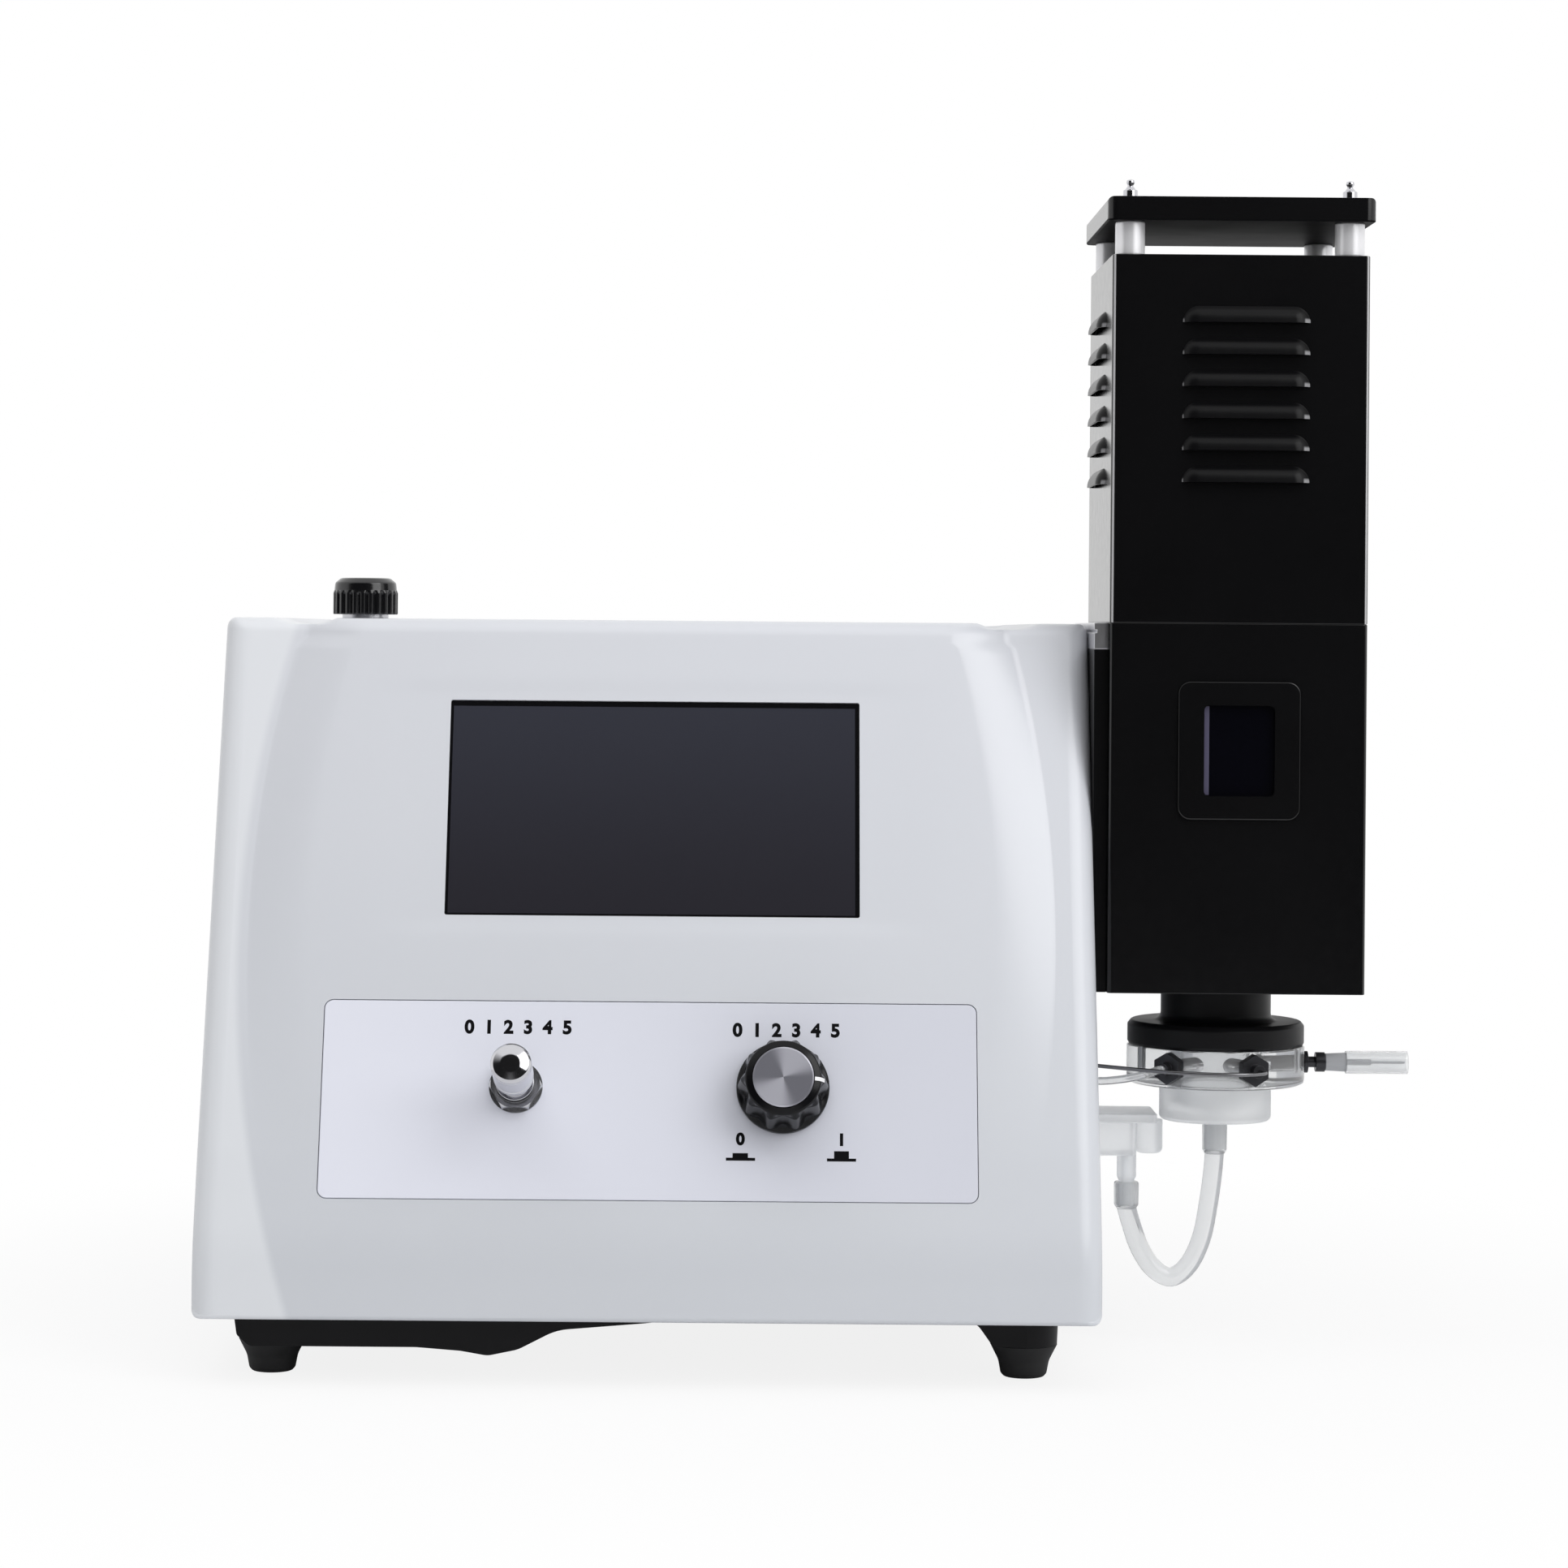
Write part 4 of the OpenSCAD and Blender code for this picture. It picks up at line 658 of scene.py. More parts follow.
DARK_METAL = plain("dark_metal", (0.05, 0.05, 0.055), 0.3, 0.8, spread=0.15)
BRASS = plain("turned_brass", (0.62, 0.43, 0.16), 0.28, 1.0, spread=0.1)
SPUN = spun_disc()
BOARD = plain("green_board", (0.02, 0.13, 0.06), 0.4, spread=0.2, size=0.006)
CLEAR = clear("clear_plastic", (0.93, 0.94, 0.95), 0.06, 0.16)
# painted light: a faint emission stands in for the light that thin milky plastic carries from the side that
# isn't seen
MILKY = clear("milky_plastic", (0.95, 0.96, 0.97), 0.4, 0.42, 1.35, Emission_Color=(0.95, 0.97, 1.0, 1),
              Emission_Strength=0.05)
HOSE_SKIN = clear("clear_hose", (0.9, 0.91, 0.92), 0.1, 0.22, 1.4)
WINDOW = plain("window_pane", (0.002, 0.002, 0.004), 0.08, spread=0.1, depth=0.0)
GLASS = clear("chimney_glass", (0.93, 0.95, 0.96), 0.03, 0.02, 1.47)
LENS = clear("lens_glass", (0.9, 0.94, 0.97), 0.02, 0.02, 1.5)
AMBER = clear("filter_glass", (0.75, 0.36, 0.08), 0.05, 0.2)
CERAMIC = plain("pale_ceramic", (0.66, 0.62, 0.54), 0.55, spread=0.1)
HOOD_BLACK = hood_black()
NEBULISER = nebuliser_finish()
THIN_STEEL = plain("thin_tube_steel", (0.22, 0.22, 0.23), 0.25, 1.0, spread=0.1)
INK = plain("printed_black", (0.003, 0.003, 0.004), 0.6, spread=0.1, depth=0.0, Specular_IOR_Level=0.1)
POINTER_WHITE = plain("pointer_white", (0.92, 0.92, 0.93), 0.5)
PANE_REFLECTION = plain("pane_edge_tint", (0.075, 0.068, 0.125), 0.5, spread=0.1)

# -------- housing
# Its side outline has six sides: apron, lower and upper face, top, rear and base. Each has its
# number of steps, the rounding of its outer edge and that of the corner before it.
SIDE_STEPS = [6, 10, 80, 34, 30, 16]
EDGE_R = [9.0, 9.0, 9.0, 4.0, 7.0, 4.0]
CORNER_R = [2.0, 70.0, 160.0, 8.0, 8.0, 2.0]
ARC_STEPS, STRAIGHT_REACH = 8, 3.0
# from the outside inwards: rounded rim, wing, flank below the crease and middle
RIM_STEPS, WING_STEPS, FLANK_STEPS, MIDDLE_STEPS = 7, 12, 14, 16
FLANK_W, CREASE_BACK = 22.0, 134.0
# the valley over the top is an arc of that radius, whose centre lies so high above it
VALLEY_R, VALLEY_UP, VALLEY_HALF = 30.0, 27.6, 11.7
# the shallow surround of the screen, by its height up the face and its half width
SURROUND_DIP, SURROUND_LOW, SURROUND_HIGH, SURROUND_W = 0.45, 121, 220, 108
WALL = 4.0


def side_points(extra):
    """The side outline, with its upper face leaning back by extra."""
    y, z = WING_V * SIN, FACE_Z + WING_V * COS
    top_y = y + (TOP_Z - z) * math.tan(LEAN + extra)
    return [(0, BASE_Z), (0, FACE_Z), (y, z), (top_y, TOP_Z), (DEPTH, TOP_Z), (DEPTH, BASE_Z)]


def moved_in(points, by):
    """A clockwise outline with each side moved inwards by its own distance."""
    n, lines, out = len(points), [], []
    for i in range(n):
        a, b = np.array(points[i], float), np.array(points[(i + 1) % n], float)
        d = unit(b - a)
        normal = np.array((d[1], -d[0]))
        lines.append((a + normal * by[i], d, normal))
    for i in range(n):
        (p, d, normal), (q, e, _) = lines[i - 1], lines[i]
        cross = d[0] * e[1] - d[1] * e[0]
        if abs(cross) < 1e-4:
            out.append(tuple(np.array(points[i]) + lines[i][2] * by[i]))
            continue
        t = ((q[0] - p[0]) * e[1] - (q[1] - p[1]) * e[0]) / cross
        out.append(tuple(p + d * t))
    return out


def side_line(points, radii):
    """Points round a side outline, with the same count whatever the lean, and their edge radii."""
    n, line, edge, corners = len(points), [], [], []
    for i in range(n):
        p, after = np.array(points[i], float), np.array(points[(i + 1) % n], float)
        on = unit(after - p)
        corners.append(corner_arc(points[i - 1], p, after, radii[i], ARC_STEPS) or
                       [p + on * (STRAIGHT_REACH * (k / ARC_STEPS * 2 - 1)) for k in range(ARC_STEPS + 1)])
    for i in range(n):
        for k, p in enumerate(corners[i]):
            line.append(p)
            t = k / ARC_STEPS
            edge.append(EDGE_R[i - 1] * (1 - t) + EDGE_R[i] * t)
        a, b = corners[i][-1], corners[(i + 1) % n][0]
        for k in range(1, SIDE_STEPS[i]):
            line.append(a + (b - a) * k / SIDE_STEPS[i])
            edge.append(EDGE_R[i])
    return np.array(line), np.array(edge)


def smooth(low, high, x):
    """0 below low, 1 above high and smooth between."""
    t = min(1.0, max(0.0, (x - low) / (high - low)))
    return t * t * (3 - 2 * t)


def crease_at(y, z, v):
    """The crease's distance from the middle: an arc on the face, straight behind it."""
    if y > DEPTH - 2 or z < BASE_Z + 6:
        return CREASE_BACK
    back = smooth(120, 290, y) if z > 100 else 0
    return (math.sqrt(CREASE_R ** 2 - (v - CREASE_V) ** 2) - CREASE_X) * (1 - back) + CREASE_BACK * back


def housing_skin():
    """The closed moulding, as columns of points that run round it from left to right."""
    main, edge = side_line(side_points(0), CORNER_R)
    wing, _ = side_line(side_points(WING_LEAN), CORNER_R)
    rims = []
    for k in range(RIM_STEPS + 1):
        a = math.pi / 2 * (1 - k / RIM_STEPS)
        points = moved_in(side_points(WING_LEAN), [r * (1 - math.sin(a)) for r in EDGE_R])
        shrink = [max(c - 6 * (1 - math.sin(a)), 0.8) for c in CORNER_R]
        rims.append((a, side_line(points, shrink)[0]))
    rows, top_v = len(main), (TOP_Z - FACE_Z) / COS
    half = [("rim", RIM_STEPS - k) for k in range(RIM_STEPS + 1)]
    for kind, steps in (("wing", WING_STEPS), ("flank", FLANK_STEPS), ("middle", MIDDLE_STEPS)):
        half += [(kind, k / steps) for k in range(1, steps + 1)]

    def point(kind, t, j):
        """Point j of the column that lies t of the way through its band."""
        y0, z0 = main[j]
        v = min(max((z0 - FACE_Z) * COS + y0 * SIN, 0), top_v)
        if z0 > TOP_Z - 9 and y0 > 60:
            v = top_v
        crease = crease_at(y0, z0, v)
        inner = crease - FLANK_W
        if kind == "rim":
            a, line = rims[t]
            return HALF_W - edge[j] * (1 - math.cos(a)), *line[j]
        if kind == "wing":
            x = (HALF_W - edge[j]) * (1 - t) + crease * t
            y, z = wing[j]
        elif kind == "flank":
            x = crease + (inner - crease) * t
            share = (1 - t) ** 1.55
            y, z = wing[j] * share + main[j] * (1 - share)
        else:
            x = inner * (1 - t)
            y, z = y0, z0
            if FACE_Z < z0 < TOP_Z - 0.5 and y0 < 100:
                dip = smooth(SURROUND_LOW, SURROUND_LOW + 5, v)
                dip *= 1 - smooth(SURROUND_HIGH - 5, SURROUND_HIGH, v)
                dip *= 1 - smooth(SURROUND_W - 22, SURROUND_W, x)
                y, z = y + SURROUND_DIP * dip * COS, z - SURROUND_DIP * dip * SIN
        # the valley that carries the crease back over the top
        aside = x - CREASE_BACK
        if z0 > TOP_Z - 3 and y0 > 60 and abs(aside) < VALLEY_HALF:
            depth = math.sqrt(VALLEY_R ** 2 - aside * aside) - VALLEY_UP
            z -= depth * smooth(TOP_Z - 3, TOP_Z, z0) * (1 - smooth(285, 298, y0))
        return x, y, z

    columns = [(side, *step) for side, order in ((-1, half), (1, half[-2::-1])) for step in order]
    verts = []
    for side, kind, t in columns:
        for x, y, z in (point(kind, t, j) for j in range(rows)):
            verts.append((side * x, y, z))
    return thing("housing_skin", verts, ring_faces(rows, len(columns)), ROW)


def hollow(extra, half):
    """The room inside, open below."""
    points = moved_in(side_points(extra), [WALL] * 6)
    points[0], points[5] = (points[0][0], 10), (points[5][0], 10)
    return prism("hollow", points, -half, half, ROW)


def disc_cutter(r, depth, place, n=64):
    """Cuts a round hole, from 12 mm outside to depth inside."""
    return turned("cutter", [(0, -depth), (r, -depth), (r, 12), (0, 12)], place, n)


VALVE_HOLE_R, GAS_HOLE_R = 6.3, 5.3
valve_place, gas_place = face_place(-CONTROL_X, CONTROL_V), face_place(CONTROL_X, CONTROL_V)
REGULATOR_X, REGULATOR_Y = -115, 130
regulator_place = upright(REGULATOR_X, REGULATOR_Y)
housing = housing_skin()
carved(housing, [
    block("cutter", 154, 84, [(0, -10), (0, 12)], 0.8, face_place(0, SCREEN_V)),
    block("cutter", 164.3, 94.3, [(0, -16), (0, -1.2)], 1, face_place(0, SCREEN_V)),
    block("cutter", 240, 74.3, [(0, -1.5), (0, 12)], 3.5, face_place(0, PLATE_V), 8),
    hollow(WING_LEAN, HALF_W - WALL - 0.5),
    hollow(0, 100),
    disc_cutter(VALVE_HOLE_R, 12, valve_place),
    disc_cutter(GAS_HOLE_R, 12, gas_place),
    disc_cutter(7.3, 12, upright(REGULATOR_X, REGULATOR_Y, TOP_Z)),
    disc_cutter(11, 12, along_x(HALF_W, BURNER[1], WINDOW_Z)),
    disc_cutter(2, 12, along_x(HALF_W, TUBE_Y, GAS_TUBE_Z), 24),
    disc_cutter(1.3, 12, along_x(HALF_W, TUBE_Y, AIR_TUBE_Z), 24),
    block("cutter", 296, 214, [(0, -1.5), (0, 12)], 4, backwards(0, REAR_Z)),
    block("cutter", 272, 190, [(0, -20), (0, 12)], 3, backwards(0, REAR_Z)),
], 32)
wearing(housing, WHITE, node="housing_shell")

# base, feet and rear
PAN_Z, FOOT_H, FOOT_X, FOOT_Y = 25.5, 12.0, 138.5, (36, 264)
PAN_TOP = PAN_Z + 1
# outlines in X and Z, pushed along Y
ACROSS = ROW @ Matrix.Rotation(math.pi / 2, 4, "Z") @ Matrix.Scale(-1, 4, (0, 1, 0))
belly = rounded_line(
    [(-151, PAN_TOP), (-149.5, 16), (-145, FOOT_H), (-84, FOOT_H), (-68, FOOT_H - 1.2), (-58, FOOT_H - 2.9),
     (-47, FOOT_H - 0.6), (-33, FOOT_H + 6.6), (0, FOOT_H + 9.4), (18, BASE_Z), (18, PAN_TOP)],
    [0, 2, 4, 30, 20, 8, 14, 22, 60, 20, 0], 8)
right_boss = rounded_line(
    [(112.5, PAN_TOP), (112.5, 23.6), (120.5, 21), (126.5, FOOT_H + 0.6), (FOOT_X, FOOT_H + 0.5),
     (FOOT_X, PAN_TOP)], [0, 1, 8, 4, 0, 0], 6)
boss_line = [(0, FOOT_H), (12.3, FOOT_H), (12.9, PAN_TOP), (0, PAN_TOP)]
pan = [block("pan", 324, 294, layers(3, 0.4, 2, PAN_Z), 1.2, upright(0, 150)),
       prism("pan", belly, 16, 284, ACROSS)]
for y in FOOT_Y:
    pan.append(prism("pan", right_boss, y - 13, y + 13, ACROSS))
    pan += [turned("pan", boss_line, upright(x, y), 48) for x in (-FOOT_X, FOOT_X)]
wearing(softened(joined("base_pan.piece", pan), 0.5), BLACK_SATIN)
foot_line = rounded_line([(0, 0), (7.4, 0), (8.5, 1.2), (9.4, 6), (12.4, 11.9), (0, 12)],
                         [0, 0.9, 1.6, 8, 0.1, 0])
feet = [turned("foot", foot_line, upright(x, y)) for x in (-FOOT_X, FOOT_X) for y in FOOT_Y]
wearing(joined("feet", feet), RUBBER, node="rubber_feet")
refined("rear_panel", PANEL, 0.2)
refined("rear_screws", STEEL, 0.15)
for node in ("mains_inlet", "switch_frame"):
    refined(node, BLACK_SATIN)
refined("switch_rocker", BLACK_GLOSS, 0.5, "rocker")
refined("data_port", STEEL, 0.15)
refined("gas_inlet", BRASS, 0.25)
refined("air_inlet", STEEL, 0.25)

# screen and control plate
wearing(block("touch_glass.piece", 164, 94, layers(1.8, 0.15, 2, -3), 0.8, face_place(0, SCREEN_V)), SCREEN)
film = block("control_film", 239.4, 73.7, layers(1.5, 0.3, 3, -1.5), 3.2, face_place(0, PLATE_V), 8)
carved(film, [disc_cutter(VALVE_HOLE_R, 6, valve_place), disc_cutter(GAS_HOLE_R, 6, gas_place)])
wearing(film, PLATE, node="control_plate")


def raised_mark(shapes):
    """Thin printed shapes on the control plate; each is a list of points across and up it."""
    verts, faces = [], []
    for shape in shapes:
        faces += ring_faces(len(shape), 2, len(verts))
        verts += [(x, y, z) for z in (0.0, 0.04) for x, y in shape]
    return verts, faces


def bar(x0, y0, x1, y1):
    """A rectangle between two opposite corners."""
    return [(x0, y0), (x1, y0), (x1, y1), (x0, y1)]


def numerals(text, x, v, size):
    """Plain numbers printed on the plate."""
    curve = bpy.data.curves.new("numeral", "FONT")
    curve.body, curve.size, curve.align_x, curve.extrude, curve.offset = text, size, "CENTER", 0.02, 0.3
    holder = linked("numeral", curve)
    mesh = evaluated(holder)
    bpy.data.objects.remove(holder)
    mesh.transform(face_place(x, v) @ Matrix.Translation((0, 0, 0.021)))
    return linked("numeral", mesh)


# the signs of the gas control, pushed in and released, and the numbers
verts, faces = raised_mark([bar(28.2, 36.4, 38.8, 37.5), bar(30.6, 37.5, 36.2, 39.2),
                            bar(64.9, 36.4, 75.5, 37.5), bar(67.5, 37.5, 72.9, 40.2)])
signs = [thing("signs", verts, faces, face_place(0, 0))]
for text, x, v, size in (("0  1  2  3  4  5", -48.4, 83.2, 6.8), ("0  1  2  3  4  5", 50.0, 82.8, 6.8),
                         ("0", 33.4, 42.4, 6.0), ("1", 70.2, 42.4, 6.0)):
    signs.append(numerals(text, x, v, size))
wearing(joined("printed_marks", signs), INK)

# -------- fine-adjust valve
refined("fine_valve_body", CHROME, 0.35)
refined("fine_panel_nut", STEEL)
refined("fine_stem", STEEL, 0, "fine_handle")
refined("fine_needle", STEEL, 0, "fine_spindle_seat")
knob_line = rounded_line(
    [(2.5, 17.6), (6.6, 17.6), (KNOB_R, 18.3), (KNOB_R, 20.8), (6.9, 21.2), (6.9, 21.9), (KNOB_R, 22.3),
     (KNOB_R, 34.6), (7.1, 35.0), (KNOB_R, 35.4), (KNOB_R, 37.0), (6.5, 38.0), (3.2, 39.2), (0, KNOB_END)],
    [0, 0.3, 0.4, 0.2, 0.2, 0.2, 0.2, 0.15, 0.15, 0.15, 0.5, 1.2, 4, 0], 5)
knob_line += [(0, 35.5), (2.5, 35.4)]
wearing(turned("fine_knob.piece", knob_line, valve_place, 96), CHROME, "fine_handle")

# -------- gas knob
SCALLOPS, SCALLOP_DEPTH = 10, 2.1


def scalloped(angle, r, z):
    """Finger scallops that fade out towards the rounded front."""
    if z < 3.2 or r < 11.5:
        return r
    t = (angle / (2 * math.pi) * SCALLOPS) % 1
    dip = math.cos((t - 0.5) * math.pi) ** 2
    fade = smooth(3.2, 5.2, z) * (1 - smooth(15.6, 18.4, z))
    return r - SCALLOP_DEPTH * dip ** 0.8 * fade


gas_line = rounded_line(
    [(10.5, 1.2), (16.8, 1.2), (17, 1.7), (17, 3.8), (16.6, 4.4), (15.4, 15.4), (13.6, 18.6), (11.4, 19.5),
     (11.15, 19.5), (11.15, 18.8), (3, 18.8)], [0, 0.3, 0.4, 0.4, 0.4, 2.2, 1.2, 0.15, 0.1, 0, 0], 5)
gas_line = stepped(gas_line, 1.2, 8) + [(3, 18.8), (3, 7.2), (10.5, 7.2)]
wearing(turned("gas_knob.piece", gas_line, gas_place, 240, scalloped), KNOB_BLACK, "gas_handle")
disc_line = rounded_line([(0, 18.8), (11.1, 18.8), (11.1, 19.7), (10.6, 19.95), (0, 19.9)],
                         [0, 0, 0.2, 0.3, 0], 3)
wearing(turned("gas_knob_disc.piece", disc_line, gas_place, 96), SPUN, "gas_handle")
# a white line that follows the knob's profile from the disc to the top of a rib
line_reach, line_height = (11.4, 13.1, 14.1, 15.0), (19.55, 18.95, 17.9, 16.5)
verts, faces = raised_mark([bar(a, -0.7, b, 0.7) for a, b in zip(line_reach, line_reach[1:])])
LINE_TURN = -0.04
verts = [(x * math.cos(LINE_TURN) - y * math.sin(LINE_TURN),
          x * math.sin(LINE_TURN) + y * math.cos(LINE_TURN),
          float(np.interp(x, line_reach, line_height)) + 0.12 + z) for x, y, z in verts]
wearing(thing("gas_pointer", verts, faces, gas_place), POINTER_WHITE, "gas_handle")
refined("gas_valve_body", BRASS)
refined("gas_valve_nut", STEEL, 0.2)
refined("gas_plunger", BRASS, 0, "gas_latch")
refined("gas_spindle", STEEL, 0, "gas_handle")

# -------- pressure regulator
FLUTES, FLUTE_DEPTH = 24, 0.95


def fluted(angle, r, z):
    """Grip flutes that end below the knob's rounded top."""
    if r < 11.4 or z > 290:
        return r
    t = (angle / (2 * math.pi) * FLUTES) % 1
    return r - FLUTE_DEPTH * math.sin(t * math.pi) ** 4 * (1 - smooth(287.0, 288.4, z))


cap_line = rounded_line(
    [(10.4, 279.1), (12.4, 279.1), (12.65, 279.4), (12.65, 287.4), (12.2, 288.6), (11.9, 291.4), (9.6, 293.3),
     (0, 293.4)], [0, 0.2, 0.3, 0.8, 0.8, 1.4, 2.4, 0], 5)
cap_line = stepped(cap_line, 3, 10, 12)
cap_line += [(0, 293.4), (0, 291.4), (3.05, 291.4), (3.05, 285.8), (10.4, 285.8)]
wearing(turned("regulator_knob.piece", cap_line, regulator_place, 288, fluted), BLACK_GLOSS, "regulator_cap")
refined("regulator_stem", STEEL, 0, "regulator_screw")
refined("regulator_body", PANEL)
refined("regulator_nut", STEEL, 0.2)

# -------- tower
refined("tower_spacer", BLACK_SHEET)
refined("spacer_trim", ALUMINIUM)
refined("flame_box", BLACK_SHEET, 0.35)
refined("top_cap", cap_black(), 0.5, "chimney")
refined("window_glass", WINDOW, 0.1)
window_place = forwards(WINDOW_X, WINDOW_Y, WINDOW_Z)
frame_ring = block("window_frame.piece", 45.8, 51.8, layers(1.2, 0.5, 3), 4.6, window_place, 8)
wearing(carved(frame_ring, [block("cutter", 26.6, 34, [(0, -3), (0, 5)], 2, window_place)]), BLACK_SHEET)
# painted reflection: a thin violet strip at the left edge of the window opening
glint_place = forwards(WINDOW_X - 12.1, WINDOW_Y + 1.1, WINDOW_Z)
wearing(block("pane_edge", 1.9, 33.4, layers(0.3, 0.1, 2), 0.2, glint_place), PANE_REFLECTION)

LOUVRE_SIDES = [
    Matrix.Translation((TOWER_X + 2, TOWER_Y - TOWER_D / 2, 0)),
    Matrix.Translation((TOWER_X - TOWER_W / 2, TOWER_Y, 0)) @ Matrix.Rotation(-math.pi / 2, 4, "Z"),
    Matrix.Translation((TOWER_X + TOWER_W / 2, TOWER_Y, 0)) @ Matrix.Rotation(math.pi / 2, 4, "Z"),
]
tower_place = upright(TOWER_X, TOWER_Y)


def cover_shell():
    """The upper cover's open shell, with a slot under each hood."""
    shell = block("chimney_cover.piece", TOWER_W, TOWER_D, layers(138.5, 0.5, 2, 278), 1.8, tower_place)
    inner = block("cutter", TOWER_W - 2.4, TOWER_D - 2.4, [(0, 270), (0, 415.3)], 0.7, tower_place)
    mouth = block("cutter", TOWER_W - 26, TOWER_D - 26, [(0, 405), (0, 425)], 6, tower_place)
    slots = []
    for side in LOUVRE_SIDES:
        for i in range(LOUVRES):
            place = (ROW @ side @ Matrix.Translation((0, 0, LOUVRE_Z + i * LOUVRE_PITCH + 2.9))
                     @ Matrix.Rotation(math.pi / 2, 4, "X"))
            slots.append(block("cutter", 42, 5.2, [(0, -4), (0, 4)], 1, place, 2))
    return carved(shell, [inner, mouth, joined("slots", slots)])


def hood_mesh():
    """One pressed hood, outside the wall at y below 0, open at its lower edge."""
    r, inside, straight = 7.2, 3.7, 17.8
    half = [9, straight, 19, 20.2, 21.5, 22.6, 23.4, 23.9]
    xs = [-x for x in half[::-1]] + [0] + half
    verts, faces, rows = [], [], 8
    for x in xs:
        reach = math.sqrt(max(r * r - max(0, abs(x) - straight) ** 2, inside ** 2 + 0.02))
        top = math.sqrt(max(reach ** 2 - inside ** 2, 0.02))
        for k in range(rows + 1):
            z = top * math.sin(math.pi / 2 * k / rows)
            verts.append((x, inside - math.sqrt(max(reach ** 2 - z * z, 0)) + 0.02, z))
    for i in range(len(xs) - 1):
        for k in range(rows):
            a = i * (rows + 1) + k
            faces.append([a, a + rows + 1, a + rows + 2, a + 1])
    mesh = bpy.data.meshes.new("hood")
    mesh.from_pydata([tuple(c * MM for c in v) for v in verts], [], faces)
    finish_mesh(mesh, 60)
    obj = linked("louvre_hoods", mesh)
    wall = obj.modifiers.new("wall", "SOLIDIFY")
    wall.thickness, wall.offset = 0.0009, -1
    return settled(obj, 50)


def louvres():
    """The rows of hoods on three sides, set out by a node tree."""
    group = bpy.data.node_groups.new("louvre_rows", "GeometryNodeTree")
    tree, face = Tree(group), group.interface
    face.new_socket("Geometry", in_out="OUTPUT", socket_type="NodeSocketGeometry")
    inputs = (("Geometry", "Geometry"), ("Count", "Int"), ("Pitch", "Float"), ("Lowest", "Float"))
    sockets = [face.new_socket(label, in_out="INPUT", socket_type="NodeSocket" + kind).identifier
               for label, kind in inputs]
    given = tree.node("NodeGroupInput").outputs
    start, step = (tree.node("ShaderNodeCombineXYZ", Z=given[label]).outputs[0]
                   for label in ("Lowest", "Pitch"))
    line = tree.node("GeometryNodeMeshLine", Count=given["Count"], Start_Location=start, Offset=step)
    hoods = tree.node("GeometryNodeInstanceOnPoints", Points=line.outputs[0], Instance=given["Geometry"])
    join = tree.node("GeometryNodeJoinGeometry")
    for side in LOUVRE_SIDES:
        turn = tree.node("GeometryNodeTransform", Geometry=hoods.outputs[0], Rotation=side.to_euler(),
                         Translation=ROW @ side.to_translation())
        tree.join(turn.outputs[0], join.inputs[0])
    real = tree.node("GeometryNodeRealizeInstances", i0=join.outputs[0])
    paint = tree.node("GeometryNodeSetMaterial", Geometry=real.outputs[0], Material=HOOD_BLACK)
    tree.node("NodeGroupOutput", i0=paint.outputs[0])
    obj = hood_mesh()
    rows = obj.modifiers.new("rows", "NODES")
    rows.node_group = group
    for socket, value in zip(sockets[1:], (LOUVRES, LOUVRE_PITCH * MM, LOUVRE_Z * MM)):
        rows[socket] = value
    return settled(obj, 50)


wearing(cover_shell(), COVER_BLACK, "chimney")
wearing(louvres(), HOOD_BLACK, "chimney")

post_line = rounded_line([(2.05, 416.5), (5.4, 416.5), (5.6, 416.9), (5.6, 428.6), (5.4, 429), (2.05, 429)],
                         [0, 0.15, 0.2, 0.2, 0.15, 0], 3)
stud_line = [(0, 412.3), (3.5, 412.3), (3.5, 415.3), (2, 415.3), (2, 438), (3.2, 438), (3.2, 438.5),
             (2.8, 438.6), (0, 438.6)]
nut_line = rounded_line(
    [(0, 438.5), (2.75, 438.5), (2.75, 440.9), (2.0, 441.3), (1.5, 442.0), (1.05, 442.5), (1.15, 443),
     (1.6, 443.8), (1.4, 444.8), (0, 445.2)], [0, 0.1, 0.3, 0.3, 0.3, 0.2, 0.3, 0.5, 0.5, 0], 3)
posts, nuts = [], []
for sx in (-1, 1):
    for sy in (-1, 1):
        corner = upright(TOWER_X + sx * (TOWER_W / 2 - 7), TOWER_Y + sy * (TOWER_D / 2 - 7))
        posts.append(turned("post", post_line, corner, 64))
        nuts += [turned("nut", stud_line, corner, 40), turned("nut", nut_line, corner, 24)]
wearing(joined("posts", posts), SATIN, "chimney", "cap_posts")
wearing(joined("nuts", nuts), CHROME, "chimney", "cap_nuts")

# -------- burner
burner = upright(*BURNER)
mount_line = rounded_line(
    [(13, 115.5), (33.2, 115.5), (34, 116.6), (34, 123.2), (32.6, 124.9), (21.2, 124.9), (21.2, 145),
     (13, 145)], [0, 0.6, 1.0, 1.2, 1.2, 3.0, 0.3, 0])
wearing(turned("burner_mount.piece", mount_line, burner, 96), BLACK_SATIN)
refined("burner_head", STEEL)
refined("glass_chimney", GLASS, 0)
refined("igniter", CERAMIC, 0)
refined("mixing_disc", CLEAR)
refined("disc_screws", STEEL, 0.2)
cup_line = rounded_line(
    [(1.6, 74.5), (3, 74.5), (3, 85.2), (4.6, 86.5), (20.4, 86.5), (21.5, 87.6), (21.5, 100.8), (13, 100.8),
     (13, 92.5), (1.6, 89.5)], [0, 0.3, 1, 0.8, 0.8, 1.0, 0.3, 0.5, 2, 0], 4)
wearing(turned("drain_cup.piece", cup_line, burner, 96), MILKY)
refined("nebuliser", NEBULISER, 0.15)
refined("sample_sleeve", CLEAR, 0)
refined("fittings", DARK_METAL, 0.2)


def beside(turn, reach):
    """A point beside the burner, at the fittings' height."""
    a = math.radians(turn)
    return (BURNER[0] + reach * math.cos(a), BURNER[1] + reach * math.sin(a), INLET_Z)


